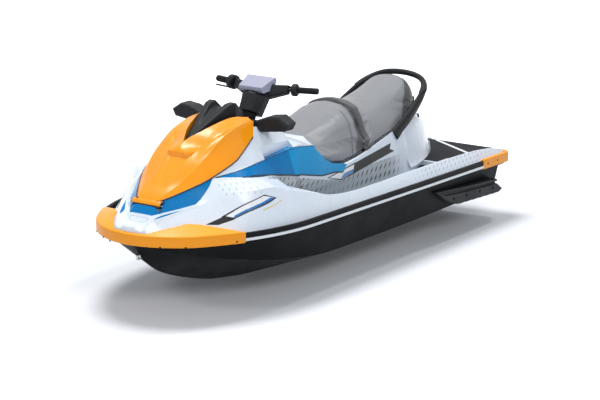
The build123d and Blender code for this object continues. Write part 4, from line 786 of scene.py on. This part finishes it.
def newTree(name, **inputs):
    tree = bpy.data.node_groups.new(name, "GeometryNodeTree")
    tree.interface.new_socket(name="Geometry", in_out="INPUT", socket_type="NodeSocketGeometry")
    for label, kind in inputs.items():
        tree.interface.new_socket(name=label, in_out="INPUT", socket_type=kind)
    tree.interface.new_socket(name="Geometry", in_out="OUTPUT", socket_type="NodeSocketGeometry")
    return tree, tree.nodes.new("NodeGroupInput").outputs, tree.nodes.new("NodeGroupOutput").inputs


def geo(tree, kind, sources, **values):
    node = addNode(tree, "GeometryNode" + kind, **values)
    for label, source in sources.items():
        if isinstance(source, (int, float)):
            node.inputs[label].default_value = source
        else:
            tree.links.new(source, node.inputs[label])
    return node.outputs


def endTree(tree, shape, finish, out):
    tree.links.new(geo(tree, "SetMaterial", {"Geometry": shape, "Material": finish})[0], out["Geometry"])
    return tree


# a round cord along the edges of a mesh
def buildPipe():
    tree, given, out = newTree("pipeAlongEdges", Radius=number, Step=number, Finish=materialKind)
    curve = geo(tree, "MeshToCurve", {"Mesh": given["Geometry"]})[0]
    even = geo(tree, "ResampleCurve", {"Curve": curve, "Length": given["Step"]}, mode="LENGTH")[0]
    ring = geo(tree, "CurvePrimitiveCircle", {"Resolution": 8, "Radius": given["Radius"]})[0]
    tube = geo(tree, "CurveToMesh", {"Curve": even, "Profile Curve": ring, "Fill Caps": True})[0]
    return endTree(tree, geo(tree, "SetShadeSmooth", {"Geometry": tube})[0], given["Finish"], out)


# short stitches along the edges of a mesh
def buildStitches():
    tree, given, out = newTree("stitchesAlongEdges", Spacing=number, Length=number, Thread=number,
                               Finish=materialKind)
    curve = geo(tree, "MeshToCurve", {"Mesh": given["Geometry"]})[0]
    spots = geo(tree, "CurveToPoints", {"Curve": curve, "Length": given["Spacing"]}, mode="LENGTH")
    thread = geo(tree, "MeshCylinder", {"Vertices": 6, "Radius": given["Thread"],
                                        "Depth": given["Length"]})[0]
    each = geo(tree, "InstanceOnPoints", {"Points": spots["Points"], "Instance": thread,
                                          "Rotation": spots["Rotation"]})[0]
    return endTree(tree, geo(tree, "RealizeInstances", {"Geometry": each})[0], given["Finish"], out)


# screw heads with a hexagonal recess on points that carry a facing vector
def buildScrews():
    tree, given, out = newTree("screwHeads", Radius=number, Height=number, Finish=materialKind,
                               Recess=materialKind)
    radius, height = given["Radius"], given["Height"]
    head = geo(tree, "MeshCone", {"Vertices": 20, "Radius Bottom": radius, "Depth": height,
                                  "Radius Top": maths(tree, "MULTIPLY", radius, 0.72)})[0]
    socket = geo(tree, "MeshCylinder", {"Vertices": 6, "Radius": maths(tree, "MULTIPLY", radius, 0.42),
                                        "Depth": height})[0]
    lift = addNode(tree, "ShaderNodeCombineXYZ")
    tree.links.new(maths(tree, "MULTIPLY", height, 0.515), lift.inputs["Z"])
    raised = geo(tree, "Transform", {"Geometry": socket, "Translation": lift.outputs[0]})[0]
    both = addNode(tree, "GeometryNodeJoinGeometry")
    for shape, finish in ((head, given["Finish"]), (raised, given["Recess"])):
        tree.links.new(geo(tree, "SetMaterial", {"Geometry": shape, "Material": finish})[0], both.inputs[0])
    facing = addNode(tree, "GeometryNodeInputNamedAttribute", data_type="FLOAT_VECTOR")
    facing.inputs["Name"].default_value = "facing"
    turn = addNode(tree, "FunctionNodeAlignRotationToVector", axis="Z")
    tree.links.new(facing.outputs["Attribute"], turn.inputs["Vector"])
    each = geo(tree, "InstanceOnPoints", {"Points": given["Geometry"], "Instance": both.outputs[0],
                                          "Rotation": turn.outputs[0]})[0]
    tree.links.new(geo(tree, "RealizeInstances", {"Geometry": each})[0], out["Geometry"])
    return tree


# soft rings round a grip
def buildRibs():
    tree, given, out = newTree("ribsAlongEdges", Count=wholeKind, Radius=number, Rib=number,
                               Finish=materialKind)
    curve = geo(tree, "MeshToCurve", {"Mesh": given["Geometry"]})[0]
    spots = geo(tree, "CurveToPoints", {"Curve": curve, "Count": given["Count"]}, mode="COUNT")
    ring = geo(tree, "CurvePrimitiveCircle", {"Resolution": 28, "Radius": given["Radius"]})[0]
    rib = geo(tree, "CurvePrimitiveCircle", {"Resolution": 6, "Radius": given["Rib"]})[0]
    hoop = geo(tree, "CurveToMesh", {"Curve": ring, "Profile Curve": rib})[0]
    each = geo(tree, "InstanceOnPoints", {"Points": spots["Points"], "Instance": hoop,
                                          "Rotation": spots["Rotation"]})[0]
    real = geo(tree, "RealizeInstances", {"Geometry": each})[0]
    return endTree(tree, geo(tree, "SetShadeSmooth", {"Geometry": real})[0], given["Finish"], out)


pipeTree, stitchTree, screwTree, ribTree = buildPipe(), buildStitches(), buildScrews(), buildRibs()


def grown(name, mesh, group, body, slot, **values):
    piece = bpy.data.objects.new(name, mesh)
    bpy.context.collection.objects.link(piece)
    grow = piece.modifiers.new("grow", "NODES")
    grow.node_group = group
    for item in group.interface.items_tree:
        if item.item_type == "SOCKET" and item.in_out == "INPUT" and item.name in values:
            grow[item.identifier] = values[item.name]
    mesh = bake(piece)
    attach(piece, body)
    print(name, len(mesh.polygons))
    return piece


def lineMesh(name, points):
    mesh = bpy.data.meshes.new(name)
    mesh.from_pydata([tuple(p) for p in points], [(i, i + 1) for i in range(len(points) - 1)], [])
    return mesh


# edges where a plane cuts a piece
def cutMesh(name, source, point, normal, keep, lift=0.0):
    work = bmesh.new()
    work.from_mesh(source)
    work.normal_update()
    found = bmesh.ops.bisect_plane(work, geom=work.verts[:] + work.edges[:] + work.faces[:], plane_co=point,
                                   plane_no=normal)
    edges = [e for e in found["geom_cut"] if isinstance(e, bmesh.types.BMEdge)
             and all(keep(v.co) for v in e.verts)]
    index, points, pairs = {}, [], []
    for edge in edges:
        for vert in edge.verts:
            if vert not in index:
                index[vert] = len(points)
                points.append(tuple(vert.co + vert.normal * lift))
        pairs.append(tuple(index[v] for v in edge.verts))
    work.free()
    mesh = bpy.data.meshes.new(name)
    mesh.from_pydata(points, pairs, [])
    return mesh


# seams: the rear rim, the arc on the front cushion's flank, and both edges of the arch
seams = [  # name, cushion, point, normal, keep, radius
    ("rearRimPiping", rearCushion, (0, 0, rimLine["rise"]), (rimLine["slope"], 0, 1),
     lambda p: p.x < rimLine["front"] and p.z > 0.40, 0.0022),
    ("frontLipPiping", frontCushion, (archLip["level"], 0, 0), (1, 0, archLip["slope"]),
     lambda p: p.z > 0.36, 0.0022),
    ("frontFlankSeam", frontCushion, (1.318, 0, 0.345), (1, 0, 0.30),
     lambda p: p.z > 0.352 and abs(p.y) > 0.12, 0.0018),
]
for name, source, point, normal, keep, radius in seams:
    mesh = cutMesh(name, source.data, Vector(point), Vector(normal).normalized(), keep)
    grown(name, mesh, pipeTree, "craft", "seat_rim", Radius=radius, Step=0.01, Finish=materials["piping"])
for name, source, point, normal, keep, radius in seams:
    normal = Vector(normal).normalized()
    mesh = cutMesh(name + "Stitch", source.data, Vector(point) + normal * 0.007, normal, keep, 0.0004)
    grown(name + "Stitches", mesh, stitchTree, "craft", "seat_rim", Spacing=0.009, Length=0.006,
          Thread=0.0006, Finish=materials["piping"])
print("seams made")


# grab handle: a bow that is broadest at its feet on the pedestal
handle = {"radius": 0.018, "flat": 0.62, "flatBelow": 0.60, "path": [  # x, y, z, times the radius
    (0.865, 0.266, 0.400, 1.9), (0.760, 0.264, 0.448, 2.0), (0.650, 0.258, 0.500, 1.85),
    (0.560, 0.248, 0.548, 1.6), (0.482, 0.234, 0.592, 1.35), (0.420, 0.210, 0.626, 1.1),
    (0.376, 0.168, 0.652, 1.0), (0.356, 0.110, 0.672, 1.0), (0.350, 0.0, 0.682, 1.0)]}


def makeHandle(values):
    curve = bpy.data.curves.new("handleBow", "CURVE")
    curve.dimensions = "3D"
    curve.bevel_depth, curve.bevel_resolution, curve.use_fill_caps = values["radius"], 6, True
    rows = values["path"] + [(x, -y, z, w) for x, y, z, w in reversed(values["path"][:-1])]
    spline = curve.splines.new("NURBS")
    spline.points.add(len(rows) - 1)
    for point, (x, y, z, wide) in zip(spline.points, rows):
        point.co, point.radius = (x, y, z, 1), wide
    spline.order_u, spline.use_endpoint_u, spline.resolution_u = 4, True, 10
    drawn = bpy.data.objects.new("handleBow", curve)
    bpy.context.collection.objects.link(drawn)
    mesh = bpy.data.meshes.new_from_object(drawn.evaluated_get(bpy.context.evaluated_depsgraph_get()))
    bpy.data.objects.remove(drawn)
    for vert in mesh.vertices:   # the arms are flatter than they are wide
        for (_, lowY, lowZ, _), (_, highY, highZ, _) in zip(values["path"], values["path"][1:]):
            if lowZ <= vert.co.z <= highZ and vert.co.z < values["flatBelow"]:
                middle = lowY + (highY - lowY) * (vert.co.z - lowZ) / (highZ - lowZ)
                middle = math.copysign(middle, vert.co.y)
                vert.co.y = middle + (vert.co.y - middle) * values["flat"]
                break
    for face in mesh.polygons:
        face.use_smooth = True
    newPiece("grabHandleBow", mesh, "craft", "console", ("grab_handle",))


makeHandle(handle)


# rows of points joined into a surface
def surfaceMesh(name, rows):
    mesh = bpy.data.meshes.new(name)
    wide = len(rows[0])
    points = [tuple(p) for row in rows for p in row]
    faces = []
    for r in range(len(rows) - 1):
        for c in range(wide - 1):
            a = r * wide + c
            faces.append((a, a + 1, a + 1 + wide, a + wide))
    mesh.from_pydata(points, [], faces)
    work = bmesh.new()
    work.from_mesh(mesh)
    bmesh.ops.remove_doubles(work, verts=work.verts, dist=0.0001)
    bmesh.ops.recalc_face_normals(work, faces=work.faces)
    work.to_mesh(mesh)
    work.free()
    for face in mesh.polygons:
        face.use_smooth = True
    return mesh


# flare at the pedestal's tail: it runs down to the platform and narrows towards the transom
tailFlare = {"floor": 0.1934, "curve": 1.3, "stations": [  # x, half width below, ridge height and half width
    (0.048, 0.004, 0.195, 0.001), (0.070, 0.032, 0.206, 0.008), (0.100, 0.058, 0.234, 0.020),
    (0.140, 0.084, 0.272, 0.040), (0.190, 0.116, 0.318, 0.068), (0.240, 0.149, 0.350, 0.096),
    (0.296, 0.184, 0.374, 0.127), (0.360, 0.212, 0.400, 0.153), (0.450, 0.256, 0.430, 0.186),
    (0.560, 0.294, 0.440, 0.214), (0.700, 0.331, 0.438, 0.238), (0.780, 0.343, 0.430, 0.240)]}


def makeTailFlare(values):
    rows = []
    for x, wide, top, ridgeHalf in values["stations"]:
        half = []
        for step in range(11):
            t = step / 10
            rise = (top - values["floor"]) * t ** values["curve"]
            half.append((x, wide + (ridgeHalf - wide) * t, values["floor"] + rise))
        rows.append([(px, -py, pz) for px, py, pz in half] + [(px, py, pz) for px, py, pz in reversed(half)])
    newPiece("tailFlare", surfaceMesh("tailFlare", rows), "craft", "deck")


makeTailFlare(tailFlare)

# white lines between the mat's panels
matLines = {"z": 0.1933, "thick": 0.0016, "half": 0.011, "runs": [((0.040, 0.075), (0.262, 0.452))]}


def makeMatLines(values):
    work = bmesh.new()
    for (ax, ay), (bx, by) in values["runs"]:
        for side in (1, -1):
            a, b = Vector((ax, ay * side)), Vector((bx, by * side))
            across = (b - a).normalized().orthogonal() * values["half"]
            corners = (a - across, b - across, b + across, a + across)
            face = work.faces.new([work.verts.new((p.x, p.y, values["z"])) for p in corners])
            grownFaces = bmesh.ops.extrude_face_region(work, geom=[face])
            for vert in (v for v in grownFaces["geom"] if isinstance(v, bmesh.types.BMVert)):
                vert.co.z += values["thick"]
    bmesh.ops.recalc_face_normals(work, faces=work.faces)
    mesh = bpy.data.meshes.new("matLines")
    work.to_mesh(mesh)
    work.free()
    newPiece("matLines", mesh, "craft", "whiteFilm")


makeMatLines(matLines)

# inner wall of each footwell ahead of the pedestal, under the blue cover
wellWall = {"foot": (0.348, 0.100), "thick": 0.003, "top": [
    (1.940, 0.325, 0.374), (2.030, 0.330, 0.394), (2.120, 0.333, 0.412), (2.180, 0.334, 0.424),
    (2.222, 0.335, 0.433)]}
for side, word in ((1, "Port"), (-1, "Starboard")):
    rows = [[(x, side * (y + (wellWall["foot"][0] - y) * t), z + (wellWall["foot"][1] - z) * t)
             for t in (0, 0.25, 0.5, 0.75, 1)] for x, y, z in wellWall["top"]]
    piece = newPiece("wellWall" + word, surfaceMesh("wellWall" + word, rows), "craft", "deck")
    wall = piece.modifiers.new("wall", "SOLIDIFY")
    wall.thickness, wall.offset = wellWall["thick"], 0
    bake(piece)

# the hood's front lip rolls over the hinge and turns with the hood inside the hinge pocket
hoodLip = {"pin": (2.922, 0.368), "radius": 0.0245, "thick": 0.002, "half": 0.098, "from": 8, "to": 112}


def makeHoodLip(values):
    rows = []
    for step in range(13):
        turn = math.radians(values["from"] + (values["to"] - values["from"]) * step / 12)
        px = values["pin"][0] + math.cos(turn) * values["radius"]
        pz = values["pin"][1] + math.sin(turn) * values["radius"]
        rows.append([(px, values["half"] * (c / 4 - 1), pz) for c in range(9)])
    piece = newPiece("hoodLip", surfaceMesh("hoodLip", rows), "hood", "hood_paint")
    wall = piece.modifiers.new("wall", "SOLIDIFY")
    wall.thickness, wall.offset = values["thick"], 0
    bake(piece)


makeHoodLip(hoodLip)

# bellows round the steering column between the console and its cover
boot = {"foot": (1.990, 0.0, 0.690), "lean": 30, "from": -0.012, "to": 0.016}
bootRibs = {"Count": 5, "Radius": 0.040, "Rib": 0.0045}
up = Vector((-math.sin(math.radians(boot["lean"])), 0, math.cos(math.radians(boot["lean"]))))
mesh = lineMesh("bootLine", [Vector(boot["foot"]) + up * boot[end] for end in ("from", "to")])
grown("columnBoot", mesh, ribTree, "steering", "grip", Finish=materials["grip"], **bootRibs)
print("handle, flare, walls and boot made")


# black gasket where the cushions and covers meet the white moulding
def gasketFrom(name, node, test, radius):
    work = merged(node)
    index, points, pairs = {}, [], []
    for edge in work.edges:
        sharp = len(edge.link_faces) == 2 and edge.calc_face_angle(0) > math.radians(25)
        if sharp and all(test(v.co) for v in edge.verts):
            for vert in edge.verts:
                if vert.index not in index:
                    index[vert.index] = len(points)
                    points.append(tuple(vert.co))
            pairs.append(tuple(index[v.index] for v in edge.verts))
    work.free()
    if not pairs:
        print("no edges for", name)
        return
    mesh = bpy.data.meshes.new(name)
    mesh.from_pydata(points, pairs, [])
    grown(name, mesh, pipeTree, "craft", "rail", Radius=radius, Step=0.02, Finish=materials["blackLine"])


seatLine = [(1.640, 0.556), (1.762, 0.497), (1.660, 0.410), (1.560, 0.362), (1.429, 0.339), (1.290, 0.352),
            (1.160, 0.373), (0.740, 0.455), (0.440, 0.560)]


def nearLine(line, reach):
    def test(p):
        spot = Vector((p.x, p.z))
        for a, b in zip(line, line[1:]):
            a, b = Vector(a), Vector(b)
            t = max(0.0, min(1.0, (spot - a).dot(b - a) / (b - a).length_squared))
            if (spot - a - (b - a) * t).length < reach:
                return abs(p.y) > 0.06
        return False
    return test


gasketFrom("seatGasketFront", "seat_front", nearLine(seatLine, 0.004), 0.0065)
gasketFrom("seatGasketRear", "seat_rear", nearLine(seatLine, 0.004), 0.0055)
coverLow = [(1.480, 0.300), (1.560, 0.318), (1.711, 0.326), (1.955, 0.380), (2.248, 0.438), (2.480, 0.470)]
coverTop = [(2.632, 0.488), (1.946, 0.536), (1.760, 0.512)]
for word in ("left", "right"):
    gasketFrom("coverLineLow_" + word, "side_cover_" + word, nearLine(coverLow, 0.006), 0.0038)
    gasketFrom("coverLineTop_" + word, "side_cover_" + word, nearLine(coverTop, 0.006), 0.0018)
hoodEdge = [(2.946, 0.381), (2.640, 0.490), (2.440, 0.551), (2.250, 0.642)]
gasketFrom("hoodSeal", "hood", nearLine(hoodEdge, 0.005), 0.004)
print("gaskets made")

# printed bands on the moulding: convex outlines seen from the side, x and z, on both sides
bands = [
    # name, finish, lift, outline
    ("frontWedge", "blackLine", 0.0004, [(2.812, 0.273), (2.757, 0.266), (2.672, 0.283), (2.717, 0.301)]),
    ("frontBandEdge", "blackLine", 0.0004, [(2.722, 0.302), (2.482, 0.393), (2.408, 0.366), (2.680, 0.281)]),
    ("frontBand", "whiteFilm", 0.0007, [(2.700, 0.303), (2.486, 0.387), (2.425, 0.369), (2.660, 0.292)]),
    ("frontBandBlue", "blueFilm", 0.0010, [(2.667, 0.290), (2.660, 0.301), (2.450, 0.374), (2.425, 0.369)]),
    ("frontThinLine", "yellowFilm", 0.0004, [(2.514, 0.313), (2.370, 0.344), (2.370, 0.348), (2.514, 0.318)]),
    ("rearBandUpper", "blackLine", 0.0004, [(1.340, 0.328), (0.925, 0.368), (0.950, 0.336), (1.358, 0.300)]),
    ("rearBandLower", "blackLine", 0.0004, [(1.358, 0.301), (0.950, 0.337), (0.908, 0.318), (1.376, 0.271)]),
    ("rearTailEdge", "blackLine", 0.0004, [(1.662, 0.303), (1.335, 0.330), (1.376, 0.270), (1.515, 0.261)]),
    ("rearTail", "whiteFilm", 0.0007, [(1.640, 0.299), (1.352, 0.322), (1.380, 0.276), (1.510, 0.267)]),
    ("rearTailBlue", "blueFilm", 0.0010, [(1.520, 0.269), (1.480, 0.292), (1.368, 0.299), (1.380, 0.275)]),
]


def bandOn(name, finish, lift, outline, side):
    work = merged("deck")
    middle = Vector((sum(p[0] for p in outline) / len(outline), 0, sum(p[1] for p in outline) / len(outline)))
    for a, b in zip(outline, outline[1:] + outline[:1]):
        a, b = Vector((a[0], 0, a[1])), Vector((b[0], 0, b[1]))
        along = (b - a).normalized()
        outward = along.cross(Vector((0, 1, 0)))
        if (middle - a).dot(outward) > 0:
            outward.negate()
        bmesh.ops.bisect_plane(work, geom=work.verts[:] + work.edges[:] + work.faces[:], plane_co=a,
                               plane_no=outward, clear_outer=True)
    work.normal_update()
    spare = [f for f in work.faces if f.normal.y * side < 0.25 or f.calc_center_median().y * side < 0.15]
    bmesh.ops.delete(work, geom=spare, context="FACES")
    work.normal_update()
    for vert in work.verts:
        vert.co += vert.normal * lift
    smoothShade(work, 30)
    mesh = bpy.data.meshes.new(name)
    work.to_mesh(mesh)
    work.free()
    newPiece(name, mesh, "craft", finish)


for name, finish, lift, outline in bands:
    for side, word in ((1, "Port"), (-1, "Starboard")):
        bandOn(name + word, finish, lift, outline, side)
print("bands made")


# screws and bolts, set on the surface nearest to each place
def otherSide(places):
    return [(x, -y, z) for x, y, z in places]


bowScrews = [(3.123, 0.132, 0.182), (3.070, 0.193, 0.186), (2.991, 0.304, 0.184), (2.750, 0.467, 0.189)]
sternScrews = [(0.16, 0.60, 0.155), (0.28, 0.60, 0.157)]
sponsonBolts = [(0.69, 0.6, 0.016), (0.54, 0.6, 0.008), (0.38, 0.6, 0.000), (0.22, 0.6, -0.010)]
platePins = [(0.13, 0.10, -0.23), (0.34, 0.10, -0.23), (0.13, -0.10, -0.23), (0.34, -0.10, -0.23)]
screwRows = [  # name, node, radius, height, finish, places
    ("bowBumperScrews", "bow_bumper", 0.0055, 0.003, "rail", bowScrews + otherSide(bowScrews)),
    ("sternBumperScrewsLeft", "stern_bumper_left", 0.0055, 0.003, "rail", sternScrews),
    ("sternBumperScrewsRight", "stern_bumper_right", 0.0055, 0.003, "rail", otherSide(sternScrews)),
    ("sponsonBoltsLeft", "sponson_left", 0.009, 0.005, "rail", sponsonBolts),
    ("sponsonBoltsRight", "sponson_right", 0.009, 0.005, "rail", otherSide(sponsonBolts)),
    ("platePins", "ride_plate", 0.008, 0.004, "steel", platePins),
]
for name, node, radius, height, finish, places in screwRows:
    work = merged(node)
    surface = BVHTree.FromBMesh(work)
    work.free()
    spots, ways = [], []
    for spot in places:
        where, way, _, _ = surface.find_nearest(Vector(spot))
        spots.append(tuple(where))
        ways += list(way)
    mesh = bpy.data.meshes.new(name)
    mesh.from_pydata(spots, [], [])
    mesh.attributes.new("facing", "FLOAT_VECTOR", "POINT").data.foreach_set("vector", ways)
    grown(name, mesh, screwTree, nodes[node]["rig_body"], "steel", Radius=radius, Height=height,
          Finish=materials[finish], Recess=materials["blackLine"])
print("screws made")

# ribs of the grips, round the line of each grip
gripRibs = {"Count": 15, "Radius": 0.0178, "Rib": 0.0014}
gripEnds = {"reach": 0.045, "inner": 0.006, "outer": 0.012}
for word in ("left", "right"):
    low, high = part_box("grip_" + word)
    middle = abs(low[1] + high[1]) / 2
    corners = [Vector(v.co) for v in nodes["grip_" + word].data.vertices]
    inside = [v for v in corners if abs(v.y) < middle - gripEnds["reach"]]
    outside = [v for v in corners if abs(v.y) > middle + gripEnds["reach"]]
    inner, outer = sum(inside, Vector()) / len(inside), sum(outside, Vector()) / len(outside)
    way = (outer - inner).normalized()
    mesh = lineMesh("gripLine", [inner + way * gripEnds["inner"], outer - way * gripEnds["outer"]])
    grown("gripRibs_" + word, mesh, ribTree, "steering", "grip", Finish=materials["grip"], **gripRibs)
print("pieces made")
